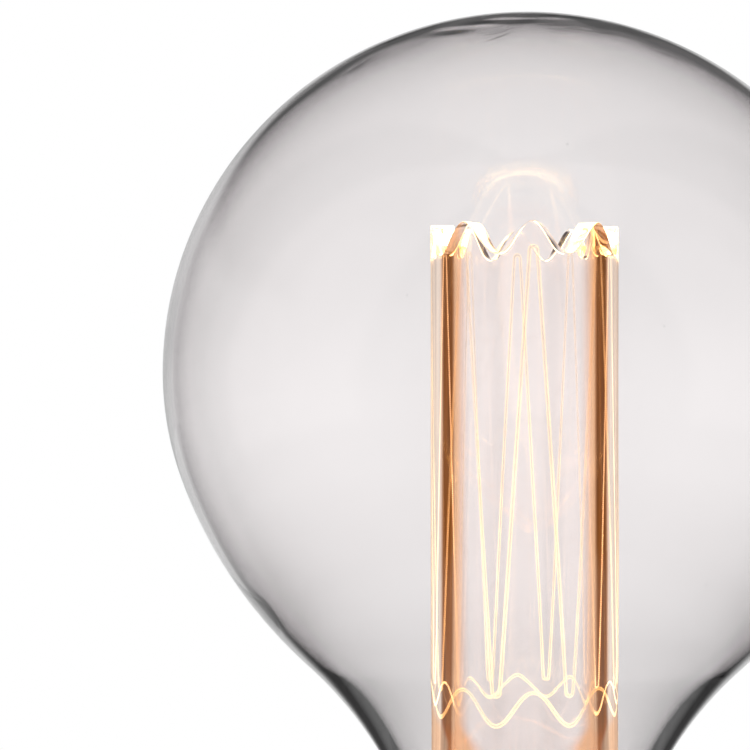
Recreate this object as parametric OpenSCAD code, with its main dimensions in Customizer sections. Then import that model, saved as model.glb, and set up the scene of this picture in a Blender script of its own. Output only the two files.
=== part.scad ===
// Clear globe bulb with an acrylic light guide, lit by a ring of light-emitting diodes.
// Millimetres. +Z up, origin on the axis at the tip of the centre contact.

/* [Globe] */
// Largest diameter of the blown glass globe
globe_d = 125; // [110:1:135]
// Radius of the globe's top, a little flatter than its sides
crown_r = 63.1; // [62.5:0.1:65]
// Angle from the top at which the flatter top ends
crown_end = 35.5; // [25:0.5:45]
// Radius of the glass wall's curve just below the widest line
waist_r = 53.7; // [48:0.1:60]
// Radius of the curve from the waist down to the flare
shoulder_r = 79.6; // [70:0.1:90]
// Angle from the top at which the waist ends
waist_end = 110; // [106:1:114]
// Angle from the top at which the shoulder turns into the flare
shoulder_end = 138; // [134:0.5:140]
// Angle at which the flare turns into the short neck curve
flare_end = 112; // [108:1:116]
// Radius of the short curve above the neck
neck_curve_r = 8; // [5:0.5:12]
// Outside diameter of the glass neck
neck_d = 40; // [39.5:0.5:44]
// Straight length of the glass neck at its rim
neck_h = 1.7; // [0.4:0.1:2.4]
// Thickness of the glass
glass_t = 1.4; // [0.9:0.1:1.6]
// Thickness of the glass where the flare meets the neck curve
heel_t = 2.8; // [1.4:0.1:3]

/* [Light guide] */
// Outside diameter of the acrylic tube
guide_d = 32.5; // [31:0.25:33.5]
// Wall of the acrylic tube
guide_t = 4; // [3:0.25:4.5]
// Length of the tube from its foot to the crown's peaks
guide_len = 100.9; // [80:0.1:110]
// Number of waves round the crown
waves = 8; // [6:1:10]
// Height of the crown's waves, trough to peak
wave_h = 5.4; // [3:0.2:7]
// Turn of the pattern round the axis, from +X to the first peak
wave_turn = 5.45; // [0:0.05:45]

/* [Engraving] */
// Width of the engraved line
line_w = 0.5; // [0.4:0.05:0.8]
// Depth of the engraved line
line_depth = 0.3; // [0.2:0.05:0.5]
// Radius of the small turns at the ends of the zigzag
loop_r = 0.65; // [0.5:0.05:1]
// Distance from the crown's peaks down to the zigzag's upper turns
zigzag_drop = 4.3; // [2.5:0.1:8]
// Distance from the tube's foot up to the zigzag's lower turns
zigzag_foot = 20.8; // [16:0.1:30]
// Distance from the tube's foot up to the lower wave's troughs
ring_wave_foot = 16.2; // [11:0.1:20]

/* [Light source] */
// Number of lamps round the ring
lamp_count = 24; // [16:1:24]
// Radial width of one lamp
lamp_w = 2.8; // [2.2:0.1:2.8]
// Length of one lamp along the ring
lamp_len = 3; // [2.4:0.1:3.2]
// Height of one lamp
lamp_h = 0.7; // [0.5:0.1:1]
// Thickness of the lamp board
lamp_board_t = 1.2; // [0.8:0.1:1.6]
// Thickness of the heat-conducting pad
pad_t = 0.3; // [0.2:0.1:0.6]
// Height of the hub that grips the tube's foot
hub_h = 5; // [4:0.25:8]
// Inside diameter of the hub
hub_bore = 13; // [12:0.5:14]
// Height of the lip under the tube's foot
hub_lip_h = 1; // [0.9:0.1:1.6]
// Number of hub screws
screw_count = 3; // [2:1:4]
// Thread diameter of the hub screws
screw_d = 2; // [1.6:0.2:2.4]
// Length of the hub screws under the head
screw_len = 8; // [7:0.5:10]
// Diameter of the hole for the leads in the board, the pad and the heat sink
lead_hole_d = 5.2; // [4.6:0.2:6]

/* [Heat sink and collar] */
// Thickness of the plate under the lamp board
sink_plate_t = 1.8; // [1.4:0.1:2.6]
// Thickness of the heat sink's flange under the glass
sink_flange_t = 1.2; // [1:0.1:1.6]
// Thickness of the heat sink's side walls
sink_wall_t = 1.6; // [1.2:0.1:2]
// Height of the heat sink's foot under the flange
sink_foot_h = 2.8; // [2.4:0.1:3.2]
// Height of the heat sink's table above the flange
sink_table_h = 1.6; // [1.2:0.1:2.4]
// Height of the collar above the screw cap
collar_h = 14; // [13:0.5:16]
// Radius of the collar's round underside
collar_bowl_r = 8; // [7:0.25:9]
// Thickness of the collar
collar_t = 1.2; // [0.9:0.1:1.4]
// Thickness of the cement round the neck's straight part
cement_t = 1.2; // [1:0.1:2]
// Height of the cement between the glass and the collar
cement_h = 4.6; // [3:0.2:5]

/* [Driver] */
// Wall of the insulating sleeve
sleeve_t = 1; // [0.8:0.1:1.2]
// Thickness of the sleeve's flange
sleeve_flange_t = 1.2; // [1:0.1:1.5]
// Thickness of the driver board
board_t = 1; // [0.8:0.1:1.2]
// Height of the driver board
board_h = 22; // [21:0.25:22.5]
// Diameter of the smoothing capacitor
can_d = 8; // [6.3:0.1:8]
// Height of the smoothing capacitor
can_h = 12; // [10:0.5:13]
// Diameter of the choke's flanges
choke_d = 5.5; // [4.5:0.1:6]
// Height of the choke off the board
choke_h = 5.5; // [4.5:0.1:6]
// Diameter of the insulated leads
lead_d = 1; // [0.8:0.05:1.2]
// Diameter of bare wires and of the parts' legs
wire_d = 0.6; // [0.4:0.05:0.6]

/* [Places on the driver board] */
// Sideways place of the moulded chips
chip_x = -4.4; // [-5:0.1:-4]
// Height of the bridge rectifier's lower edge above the board's lower edge
bridge_rise = 4; // [3:0.1:5]
// Height of the output diode's lower edge
diode_rise = 10.6; // [9.8:0.1:11.4]
// Height of the driver chip's lower edge
chip_rise = 14.5; // [13.8:0.1:16]
// Height of the smoothing capacitor's lower edge
can_rise = 4; // [3.6:0.1:5]
// Sideways place of the choke
choke_x = 4.4; // [3.6:0.1:4.8]
// Height of the choke's axis
choke_rise = 16.5; // [15.5:0.1:18]
// Sideways place of the film capacitor's left edge
film_x = 1.4; // [0.8:0.1:1.8]
// Height of the film capacitor's lower edge
film_rise = 5.2; // [4.6:0.1:6]
// Sideways place of the fuse resistor's middle
fuse_x = 3.2; // [2.6:0.1:3.6]
// Height of the fuse resistor's axis
fuse_rise = 2.2; // [1.8:0.1:2.6]

/* [Screw cap] */
// Height of the cap from the contact tip to its top edge
cap_h = 27; // [26:0.25:29]
// Outside diameter of the thread's crests and of the skirt
thread_d = 26.2; // [26:0.05:26.5]
// Depth of the rounded thread
thread_depth = 0.95; // [0.8:0.05:1.05]
// Distance from one turn to the next
thread_pitch = 3.629; // [3.5:0.001:3.7]
// Height of the smooth skirt above the thread
skirt_h = 4; // [3.5:0.25:5]
// Thickness of the rolled shell
shell_t = 0.3; // [0.25:0.05:0.4]
// Height of the shell's lower lip above the contact tip
lip_z = 5.8; // [5:0.1:6.4]
// Inside diameter of the shell's lower lip
lip_d = 20.5; // [19.5:0.25:21]
// Diameter of the contact disc
contact_d = 10.6; // [9.5:0.1:12]
// Thickness of the contact disc
contact_t = 0.6; // [0.4:0.1:0.8]
// Diameter of the solder on the contact
solder_d = 5.4; // [4:0.1:6.5]
// Height of the solder below the contact disc
solder_h = 0.8; // [0.5:0.1:1.2]

/* [Hidden] */
$fn = 128;

// Clearances: bonded faces, parts that slide together, parts that only pass each other
bond_gap = 0.05;
slip_gap = 0.15;
pass_gap = 0.3;
// Overlap of the shapes that are joined into one solid
join = 0.02;
// Reach of a cut past the faces that it opens
past = 1;

// Screw cap, from the tip upwards
thread_r = thread_d / 2;
root_r = thread_r - thread_depth;
shell_in_r = root_r - shell_t;
skirt_z = cap_h - skirt_h;
contact_z = solder_h;
contact_top = contact_z + contact_t;
insulator_flange_t = 1.6;
// The lip's bend: its bevel outside, and where the bevel starts inside
lip_corner = 0.6 * (root_r - lip_d / 2);
lip_fold = 0.4 * shell_t;
lip_bevel_r = root_r - lip_corner - lip_fold;
insulator_top = lip_z + shell_t + insulator_flange_t;
insulator_hole_r = lead_d / 2 + slip_gap;

// Sleeve, driver board and collar
sleeve_z = insulator_top;
sleeve_r = shell_in_r - slip_gap;
sleeve_in_r = sleeve_r - sleeve_t;
band_r = thread_r - shell_t - slip_gap;
band_z = skirt_z + past;
floor_z = cap_h + collar_t;
board_z = sleeve_z + sleeve_t;
board_y = lead_d / 2;
board_face = board_y + board_t;
board_w = 2 * (sleeve_in_r - pass_gap);
neutral_y = board_y - wire_d / 2;
neutral_z = band_z - wire_d / 2 - slip_gap;
neutral_r = thread_r - shell_t - wire_d / 2 - bond_gap;
sink_z = floor_z + sleeve_flange_t;

// Neck, heat sink and lamp ring
neck_r = neck_d / 2;
neck_in_r = neck_r - glass_t;
pedestal_r = neck_in_r - 3 * pass_gap;
sink_in_r = sleeve_r + pass_gap;
flange_z = sink_z + sink_foot_h;
flange_top = flange_z + sink_flange_t;
sink_top = flange_top + sink_table_h;
lamp_board_z = sink_top + pad_t;
lamp_z = lamp_board_z + lamp_board_t;
rim_z = flange_top + slip_gap;

// Light guide
guide_r = guide_d / 2;
guide_in_r = guide_r - guide_t;
guide_z = lamp_z + hub_lip_h;
guide_top = guide_z + guide_len;
wave_mid = guide_top - wave_h / 2;
sector = 360 / waves;
lamp_ring_r = (guide_r + guide_in_r) / 2;
hub_r = guide_in_r - slip_gap;
screw_ring_r = (hub_r + hub_bore / 2) / 2;
screw_head_r = 0.95 * screw_d;
screw_head_h = 0.65 * screw_d;
screw_seat = guide_z + 2;
pad_r = pedestal_r - pass_gap;
solder_pad_r = (lead_hole_d / 2 + hub_bore / 2) / 2;
solder_r = 1.25 * lead_d;
lead_rise = 0.9 * lead_d;

// Glass: arcs that meet at a shared tangent, from the top down to the neck.
// The flare's radius follows from the neck's diameter.
globe_r = globe_d / 2;
side_r = (globe_r - crown_r * sin(crown_end)) / (1 - sin(crown_end));
shoulder_x = globe_r + waist_r * (sin(waist_end) - 1)
    + shoulder_r * (sin(shoulder_end) - sin(waist_end));
flare_r = (shoulder_x - neck_r - neck_curve_r * (1 - sin(flare_end)))
    / (sin(flare_end) - sin(shoulder_end));
arc_r = [crown_r, side_r, waist_r, shoulder_r, -flare_r, -neck_curve_r];
arc_a = [0, crown_end, 90, waist_end, shoulder_end, flare_end, 90];
globe_drop = crown_r * (1 - cos(crown_end)) + side_r * cos(crown_end) - waist_r * cos(waist_end)
    - shoulder_r * (cos(shoulder_end) - cos(waist_end))
    + flare_r * (cos(flare_end) - cos(shoulder_end)) - neck_curve_r * cos(flare_end);
globe_top = rim_z + neck_h + globe_drop;
arc_step = 3;

// A point at radius r and angle a from straight up
function polar(r, a) = [r * sin(a), r * cos(a)];
// Centre of arc i, found by walking down the chain from the top
function arc_centre(i) = i == 0 ? [0, globe_top - arc_r[0]]
    : arc_centre(i - 1) + polar(arc_r[i - 1] - arc_r[i], arc_a[i]);
// Thickness of the glass a share f along arc i: it grows down the flare and falls along the neck curve
function swell(f) = (1 - cos(180 * f)) / 2;
function wall_t(i, f) = glass_t + (heel_t - glass_t) * (i == 4 ? swell(f) : i == 5 ? 1 - swell(f) : 0);
// Points along arc i, moved inwards by a share of the thickness: 0 is the outside, 1 the inside
function arc_points(i, share) = let (n = ceil(abs(arc_a[i + 1] - arc_a[i]) / arc_step))
    [for (k = [(i == 0 ? 0 : 1):n]) arc_centre(i)
        + polar(arc_r[i] - share * wall_t(i, k / n), arc_a[i] + (arc_a[i + 1] - arc_a[i]) * k / n)];
function glass_side(share) = [for (i = [0:5]) each arc_points(i, share)];
function reversed(p) = [for (i = [len(p) - 1:-1:0]) p[i]];
// Radius of the glass at a height on the flare or on the neck curve
function glass_r_at(z) = let (i = z > (arc_centre(4) + polar(arc_r[4], arc_a[5]))[1] ? 4 : 5,
    c = arc_centre(i)) z < c[1] ? neck_r : c[0] - sqrt(pow(arc_r[i], 2) - pow(z - c[1], 2));

// A stroke of width w along points p: both sides, offset along the mean direction's normal
function direction(p, i) = let (a = p[max(i - 1, 0)], b = p[min(i + 1, len(p) - 1)]) (b - a) / norm(b - a);
function beside(p, d) = [for (i = [0:len(p) - 1]) let (u = direction(p, i)) p[i] + d * [-u[1], u[0]]];
function stroke(p, w) = concat(beside(p, w / 2), reversed(beside(p, -w / 2)));
// Unrolled distance round the tube turned into the sideways place seen along the radius
function wrap(p) = [for (q = p) [guide_r * sin(q[0] / guide_r * 180 / PI), q[1]]];

// Zigzag and lower wave over one sector, unrolled: x along the outside, y upwards
half_sector = guide_r * sector / 2 * PI / 180;
zigzag_top = guide_top - zigzag_drop;
zigzag_low = guide_z + zigzag_foot;
loop_steps = 6;
function turn(c, a0, a1, n) = [for (k = [0:n]) let (a = a0 + (a1 - a0) * k / n)
    c + loop_r * [cos(a), sin(a)]];
function leg(a, b) = [for (k = [1:2]) a + (b - a) * k / 3];
function hairpin() = let (
    low_l = turn([-half_sector, zigzag_low + loop_r], -90, 0, loop_steps / 2),
    top = turn([0, zigzag_top - loop_r], 180, 0, loop_steps),
    low_r = turn([half_sector, zigzag_low + loop_r], 180, 270, loop_steps / 2))
    concat(low_l, leg(low_l[len(low_l) - 1], top[0]), top, leg(top[len(top) - 1], low_r[0]), low_r);
wave_steps = 12;
function wave_z(a) = wave_h / 2 * cos(waves * a);
function ring_wave() = [for (k = [0:wave_steps]) let (f = 2 * k / wave_steps - 1)
    [half_sector * f, guide_z + ring_wave_foot + wave_h / 2 + wave_z(sector / 2 * f)]];

module ring(r, hole, h) {
    difference() {
        cylinder(r = r, h = h);
        translate([0, 0, -past]) cylinder(r = hole, h = h + 2 * past);
    }
}

module around(count, r, start = 0) {
    for (i = [0:count - 1]) rotate([0, 0, start + i * 360 / count]) translate([r, 0, 0]) children();
}

module glass_globe() {
    rim_c = [neck_r - glass_t / 2, rim_z + glass_t / 2];
    rim = [for (k = [1:5]) rim_c + glass_t / 2 * [cos(-30 * k), sin(-30 * k)]];
    color([0.9, 0.93, 0.94, 0.3])
        rotate_extrude()
            polygon(concat(glass_side(0), [[neck_r, rim_c[1]]], rim, [[neck_in_r, rim_c[1]]],
                reversed(glass_side(1))));
}

// Cement: fills the space between the glass neck and the collar
module neck_cement() {
    low = rim_z + glass_t;
    steps = 6;
    function level(k) = low + cement_h * k / steps;
    color([0.26, 0.22, 0.19])
        rotate_extrude()
            polygon(concat(
                [for (k = [0:steps]) [glass_r_at(level(k)) + bond_gap, level(k)]],
                [for (k = [steps:-1:0]) [collar_in_r(level(k)) - bond_gap, level(k)]]));
}

// Light guide: a thick tube with a wavy crown and an engraved line that catches the light
module guide_sector_cut(points) {
    rotate([90, 0, 90]) linear_extrude(guide_r + past) polygon(wrap(points));
}

module engraving() {
    intersection() {
        translate([0, 0, guide_z + past]) ring(guide_r + past / 2, guide_r - line_depth, guide_len);
        for (i = [0:waves - 1]) rotate([0, 0, wave_turn + i * sector]) {
            guide_sector_cut(stroke(hairpin(), line_w));
            guide_sector_cut(stroke(ring_wave(), line_w));
        }
    }
}

module crown_cut() {
    n = waves * wave_steps;
    rows = [[guide_in_r - past, 0], [guide_r + past, 0], [guide_r + past, 1], [guide_in_r - past, 1]];
    points = [for (k = [0:n - 1]) let (a = k * 360 / n) for (q = rows)
        [q[0] * cos(a + wave_turn), q[0] * sin(a + wave_turn),
            q[1] == 0 ? wave_mid + wave_z(a) : guide_top + past]];
    faces = [for (k = [0:n - 1]) for (j = [0:3])
        let (a = 4 * k + j, b = 4 * k + (j + 1) % 4, c = 4 * ((k + 1) % n) + (j + 1) % 4,
            d = 4 * ((k + 1) % n) + j) each [[a, b, c], [a, c, d]]];
    polyhedron(points, faces);
}

module light_guide() {
    color([0.98, 0.9, 0.82, 0.4])
        difference() {
            translate([0, 0, guide_z]) ring(guide_r, guide_in_r, guide_len);
            crown_cut();
            engraving();
        }
}

// Hub: grips the tube from inside, its lip carries the tube's foot
module guide_hub() {
    color([0.95, 0.95, 0.93])
        difference() {
            translate([0, 0, lamp_z]) union() {
                ring(hub_r, hub_bore / 2, hub_lip_h + hub_h);
                ring(hub_r + (guide_t - lamp_w) / 2 + slip_gap - join, hub_bore / 2, hub_lip_h);
            }
            around(screw_count, screw_ring_r, 90) {
                cylinder(r = screw_d / 2 + slip_gap, h = guide_top);
                translate([0, 0, screw_seat]) cylinder(r = screw_head_r + slip_gap, h = guide_len);
            }
        }
}

module hub_screws() {
    color([0.75, 0.75, 0.77])
        around(screw_count, screw_ring_r, 90)
            difference() {
                union() {
                    translate([0, 0, screw_seat]) cylinder(r = screw_head_r, h = screw_head_h);
                    translate([0, 0, screw_seat - screw_len]) cylinder(r = screw_d / 2, h = screw_len + join);
                }
                for (a = [0, 90]) translate([0, 0, screw_seat + screw_head_h]) rotate([0, 0, a])
                    cube([1.3 * screw_d, 0.25 * screw_d, screw_head_h], center = true);
            }
}

module plate(r, t) {
    difference() {
        cylinder(r = r, h = t);
        translate([0, 0, -past]) cylinder(r = lead_hole_d / 2, h = t + 2 * past);
        translate([0, 0, -past]) around(screw_count, screw_ring_r, 90)
            cylinder(r = screw_d / 2 + slip_gap, h = t + 2 * past);
    }
}

module lamp_board() {
    color([0.94, 0.94, 0.92]) translate([0, 0, lamp_board_z]) plate(pedestal_r, lamp_board_t);
}

module thermal_pad() {
    color([0.6, 0.62, 0.66]) translate([0, 0, sink_top]) plate(pad_r, pad_t);
}

module lamp_chips() {
    color([1, 0.78, 0.35])
        translate([0, 0, lamp_z]) around(lamp_count, lamp_ring_r)
            difference() {
                translate([-lamp_w / 2, -lamp_len / 2, 0]) cube([lamp_w, lamp_len, lamp_h]);
                translate([0, 0, lamp_h]) cube([0.8 * lamp_w, 0.8 * lamp_len, 0.4 * lamp_h], center = true);
            }
}

module lead_solder() {
    color([0.8, 0.8, 0.82])
        translate([0, 0, lamp_z]) around(2, solder_pad_r)
            difference() {
                sphere(r = solder_r);
                translate([0, 0, -2 * solder_r]) cube(4 * solder_r, center = true);
                translate([-2 * solder_r, 0, lead_rise]) rotate([0, 90, 0])
                    cylinder(r = lead_d / 2 + bond_gap, h = 2 * solder_r + bond_gap);
            }
}

module heat_sink() {
    color([0.72, 0.73, 0.75])
        difference() {
            union() {
                translate([0, 0, sink_z]) cylinder(r = sink_in_r + sink_wall_t, h = sink_top - sink_z);
                translate([0, 0, flange_z]) cylinder(r = sink_flange_r, h = sink_flange_t);
                translate([0, 0, flange_z]) cylinder(r = pedestal_r, h = sink_top - flange_z);
            }
            translate([0, 0, sink_z - past])
                cylinder(r = sink_in_r, h = sink_top - sink_plate_t - sink_z + past);
            cylinder(r = lead_hole_d / 2, h = sink_top + past);
            around(screw_count, screw_ring_r, 90) cylinder(r = screw_d / 2, h = sink_top + past);
        }
}

// Collar: a cup with a round underside that carries on the line of the glass
bowl_c = [neck_r + cement_t + collar_t - collar_bowl_r, cap_h + collar_bowl_r];
collar_top = cap_h + collar_h;
collar_top_r = glass_r_at(collar_top) + pass_gap;
bowl_in_r = collar_bowl_r - collar_t;
bore_r = bowl_c[0] + bowl_in_r;
function collar_in_r(z) = z < bowl_c[1] ? bowl_c[0] + sqrt(pow(bowl_in_r, 2) - pow(z - bowl_c[1], 2))
    : bore_r + (collar_top_r - bore_r) * (z - bowl_c[1]) / (collar_top - bowl_c[1]);
sink_flange_r = collar_in_r(flange_z) - slip_gap;

module collar() {
    steps = 12;
    function bowl(r) = [for (k = [0:steps]) bowl_c + r * [sin(90 * k / steps), -cos(90 * k / steps)]];
    rim_c = [collar_top_r + collar_t / 2, collar_top - collar_t / 2];
    rim = [for (k = [0:6]) rim_c + collar_t / 2 * [cos(30 * k), sin(30 * k)]];
    hole_r = band_r + slip_gap;
    color([0.78, 0.74, 0.66])
        rotate_extrude()
            polygon(concat([[hole_r, cap_h]], bowl(collar_bowl_r), rim,
                reversed(bowl(bowl_in_r)), [[hole_r, floor_z]]));
}

// Sleeve: insulates the driver from the cap; the cap is crimped on its wide band
module driver_sleeve() {
    rail_w = 1.4;
    rail_t = 0.8;
    rail_gap = 0.1;
    sleeve_top = sink_top - sink_plate_t - pass_gap;
    color([0.96, 0.96, 0.95])
        difference() {
            union() {
                translate([0, 0, sleeve_z]) ring(sleeve_r, sleeve_in_r, sleeve_top - sleeve_z);
                translate([0, 0, sleeve_z]) cylinder(r = sleeve_in_r + join, h = sleeve_t);
                translate([0, 0, band_z]) ring(band_r, sleeve_r - join, floor_z - band_z + join);
                translate([0, 0, floor_z]) ring(sink_in_r + sink_wall_t, sleeve_r - join, sleeve_flange_t);
                intersection() {
                    translate([0, 0, sleeve_z]) cylinder(r = sleeve_in_r + join, h = board_h);
                    for (x = [-sleeve_in_r - join, sleeve_in_r + join - rail_w])
                        for (y = [board_y - rail_gap - rail_t, board_face + rail_gap])
                            translate([x, y, board_z - join]) cube([rail_w, rail_t, board_h]);
                }
            }
            cylinder(r = insulator_hole_r, h = board_z + join);
            translate([0, neutral_y, neutral_z]) rotate([0, 90, 0])
                cylinder(r = wire_d / 2 + slip_gap, h = thread_r);
            translate([neutral_r - wire_d / 2 - slip_gap, neutral_y - wire_d / 2 - slip_gap, neutral_z])
                cube([thread_r, wire_d + 2 * slip_gap, cap_h - neutral_z]);
        }
}

// Driver board, standing on the sleeve's floor between the rails, with a hole for each leg
can_pin = [can_d / 4, can_rise - 1.5];
film_size = [6, 4, 6.5];
film_pin = [film_size[0] / 2 - 0.5, film_rise + film_size[2] / 2];
fuse_l = 6;
fuse_r = 1.1;
fuse_pin = [fuse_l / 2 + 1.2, fuse_rise];
choke_flange_t = 0.8;

module legs(x, pin, from, to) {
    for (side = [-1, 1]) translate([x + side * pin[0], from, board_z + pin[1]]) rotate([-90, 0, 0])
        cylinder(r = wire_d / 2, h = to - from);
}

module leg_holes(x, pin) {
    for (side = [-1, 1]) translate([x + side * pin[0], board_y - past, board_z + pin[1]]) rotate([-90, 0, 0])
        cylinder(r = wire_d / 2 + bond_gap, h = board_t + 2 * past);
}

module driver_board() {
    color([0.16, 0.42, 0.24])
        difference() {
            translate([-board_w / 2, board_y, board_z]) cube([board_w, board_t, board_h]);
            leg_holes(0, can_pin);
            leg_holes(film_x + film_size[0] / 2, film_pin);
            leg_holes(fuse_x, fuse_pin);
        }
}

// A moulded chip with legs along both sides, on the board's back face
module chip(rise, w, h, t, count) {
    leg_w = 0.4;
    leg_out = 0.75;
    stand_off = 0.15;
    translate([chip_x, board_face, board_z + rise]) {
        translate([-w / 2, stand_off, 0]) cube([w, t, h]);
        for (i = [0:count - 1]) translate([-w / 2 - leg_out, 0, h * (i + 0.5) / count - leg_w / 2]) {
            cube([leg_out + leg_w, t / 2, leg_w]);
            translate([w + leg_out - leg_w, 0, 0]) cube([leg_out + leg_w, t / 2, leg_w]);
        }
    }
}

module bridge_rectifier() { color([0.12, 0.12, 0.13]) chip(bridge_rise, 3.9, 4.7, 2.4, 2); }
module driver_chip() { color([0.12, 0.12, 0.13]) chip(chip_rise, 3.9, 4.9, 1.5, 4); }
module output_diode() { color([0.15, 0.15, 0.16]) chip(diode_rise, 4, 2.4, 2, 1); }

module smoothing_capacitor() {
    can_y = board_y - can_d / 2 - slip_gap;
    bead_z = 1.6;
    groove = 0.35;
    color([0.2, 0.2, 0.3]) {
        translate([0, can_y, board_z + can_rise])
            rotate_extrude()
                polygon([[0, 0], [can_d / 2, 0], [can_d / 2, bead_z - groove], [can_d / 2 - groove, bead_z],
                    [can_d / 2, bead_z + groove], [can_d / 2, can_h - groove], [can_d / 2 - groove, can_h],
                    [0, can_h]]);
        for (side = [-1, 1]) translate([side * can_pin[0], can_y, board_z + can_pin[1]]) {
            sphere(r = wire_d / 2);
            cylinder(r = wire_d / 2, h = can_rise - can_pin[1] + join);
        }
        legs(0, can_pin, can_y, board_face);
    }
}

module choke_core() {
    color([0.22, 0.22, 0.24])
        translate([choke_x, board_face, board_z + choke_rise]) rotate([-90, 0, 0]) {
            cylinder(r = choke_d / 2, h = choke_flange_t);
            cylinder(r = choke_d / 4, h = choke_h);
            translate([0, 0, choke_h - choke_flange_t]) cylinder(r = choke_d / 2, h = choke_flange_t);
        }
}

module choke_winding() {
    color([0.72, 0.42, 0.2])
        translate([choke_x, board_face + choke_flange_t + bond_gap, board_z + choke_rise]) rotate([-90, 0, 0])
            ring(choke_d / 2 - pass_gap, choke_d / 4 + bond_gap, choke_h - 2 * choke_flange_t - 2 * bond_gap);
}

// Fuse resistor: a lacquered barrel on the board's back face, its legs bent down into the board
module fuse_resistor() {
    fuse_y = board_face + fuse_r + slip_gap;
    cap_l = 1.4;
    slope = 0.4;
    waist = 0.85 * fuse_r;
    color([0.55, 0.75, 0.62]) {
        translate([fuse_x - fuse_l / 2, fuse_y, board_z + fuse_rise]) rotate([0, 90, 0])
            rotate_extrude()
                polygon([[0, 0], [waist, 0], [fuse_r, slope], [fuse_r, cap_l], [waist, cap_l + slope],
                    [waist, fuse_l - cap_l - slope], [fuse_r, fuse_l - cap_l], [fuse_r, fuse_l - slope],
                    [waist, fuse_l], [0, fuse_l]]);
        translate([fuse_x - fuse_pin[0], fuse_y, board_z + fuse_rise]) rotate([0, 90, 0])
            cylinder(r = wire_d / 2, h = 2 * fuse_pin[0]);
        for (side = [-1, 1]) translate([fuse_x + side * fuse_pin[0], fuse_y, board_z + fuse_rise])
            sphere(r = wire_d / 2);
        legs(fuse_x, fuse_pin, board_y, fuse_y);
    }
}

module film_capacitor() {
    color([0.78, 0.36, 0.16]) {
        translate([film_x, board_face, board_z + film_rise]) cube(film_size);
        legs(film_x + film_size[0] / 2, film_pin, board_y, board_face + join);
    }
}

// A quarter-circle bend of a round wire: it leaves upwards at the origin and ends pointing along +X
module bend(r, wire_r) {
    translate([r, 0, 0]) rotate([90, 0, 180]) rotate_extrude(angle = 90) translate([r, 0]) circle(r = wire_r);
}

// Live lead: straight down the axis, from the driver board to the centre contact
live_z = contact_z - solder_h / 3;
module live_lead() {
    color([0.8, 0.3, 0.2])
        translate([0, 0, live_z]) cylinder(r = lead_d / 2, h = board_z + 2.5 - live_z);
}

// Neutral lead: out through the sleeve's wall, then up its slot, where the crimped skirt grips it
module neutral_lead() {
    start_x = board_w / 2 - 3;
    r = wire_d;
    color([0.8, 0.8, 0.8]) {
        translate([start_x, neutral_y, neutral_z]) rotate([0, 90, 0])
            cylinder(r = wire_d / 2, h = neutral_r - r - start_x);
        translate([neutral_r, neutral_y, neutral_z + r]) rotate([0, 180, 0]) bend(r, wire_d / 2);
        translate([neutral_r, neutral_y, neutral_z + r])
            cylinder(r = wire_d / 2, h = cap_h - neutral_z - r - pass_gap);
    }
}

// Output leads: up through the heat sink, then over to their solder pads inside the hub
module output_lead() {
    bend_r = 1.3 * lead_d;
    rise_x = lead_hole_d / 2 - lead_d / 2 - slip_gap;
    low = board_z + board_h - 3;
    top = lamp_z + lead_rise;
    translate([rise_x, 0, low]) cylinder(r = lead_d / 2, h = top - bend_r - low);
    translate([rise_x, 0, top - bend_r]) bend(bend_r, lead_d / 2);
    translate([rise_x + bend_r, 0, top]) rotate([0, 90, 0])
        cylinder(r = lead_d / 2, h = solder_pad_r - rise_x - bend_r);
}

module positive_lead() { color([0.75, 0.1, 0.1]) output_lead(); }
module negative_lead() { color([0.1, 0.1, 0.12]) rotate([0, 0, 180]) output_lead(); }

// Screw shell: rolled sheet with a round thread, a smooth skirt and a turned-in lower lip
thread_z = lip_z + 1.6;
thread_fade = thread_pitch / 2;
around_steps = 36;
turn_steps = 6;
// The threaded wall grows slimmer where it enters the lip and the skirt
seam_slim = 0.3 * shell_t;
seam_reach = 0.1;
function thread_share(z) = max(0, min(1, (skirt_z - z) / thread_fade));
function low_share(z) = max(0, min(1, (z - thread_z) / thread_fade));
function thread_radius(z, a) = let (crest = (1 + cos(360 * z / thread_pitch - a)) / 2)
    thread_r - thread_depth * thread_share(z) * (1 - crest * low_share(z));

module thread_wall() {
    n = around_steps;
    steps = ceil((skirt_z - thread_z) / thread_pitch * turn_steps);
    seams = [thread_z - seam_reach, thread_z + join, skirt_z - join, skirt_z + seam_reach];
    levels = concat([seams[0], seams[1]],
        [for (k = [1:steps - 1]) thread_z + (skirt_z - thread_z) * k / steps], [seams[2], seams[3]]);
    function inset(z) = z <= seams[1] || z >= seams[2] ? seam_slim : 0;
    function row(z, t) = [for (i = [0:n - 1]) let (a = 360 * i / n, r = thread_radius(z, a) - t)
        [r * cos(a), r * sin(a), z]];
    points = concat([for (z = levels) each row(z, inset(z))],
        [for (z = reversed(levels)) each row(z, shell_t - inset(z))]);
    rows = 2 * len(levels);
    faces = [for (k = [0:rows - 1]) for (i = [0:n - 1])
        let (a = k * n + i, b = k * n + (i + 1) % n, c = (k + 1) % rows * n + (i + 1) % n,
            d = (k + 1) % rows * n + i) each [[a, c, b], [a, d, c]]];
    polyhedron(points, faces);
}

module screw_shell() {
    lip_r = lip_d / 2;
    drop = thread_z - lip_z;
    color([0.83, 0.83, 0.84]) {
        thread_wall();
        translate([0, 0, skirt_z]) ring(thread_r, thread_r - shell_t, skirt_h);
        rotate_extrude()
            polygon([[lip_r, lip_z], [root_r - lip_corner, lip_z], [root_r, lip_z + lip_corner],
                [root_r, lip_z + drop], [shell_in_r, lip_z + drop],
                [shell_in_r, lip_z + shell_t + shell_in_r - lip_bevel_r],
                [lip_bevel_r, lip_z + shell_t], [lip_r, lip_z + shell_t]]);
    }
}

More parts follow.
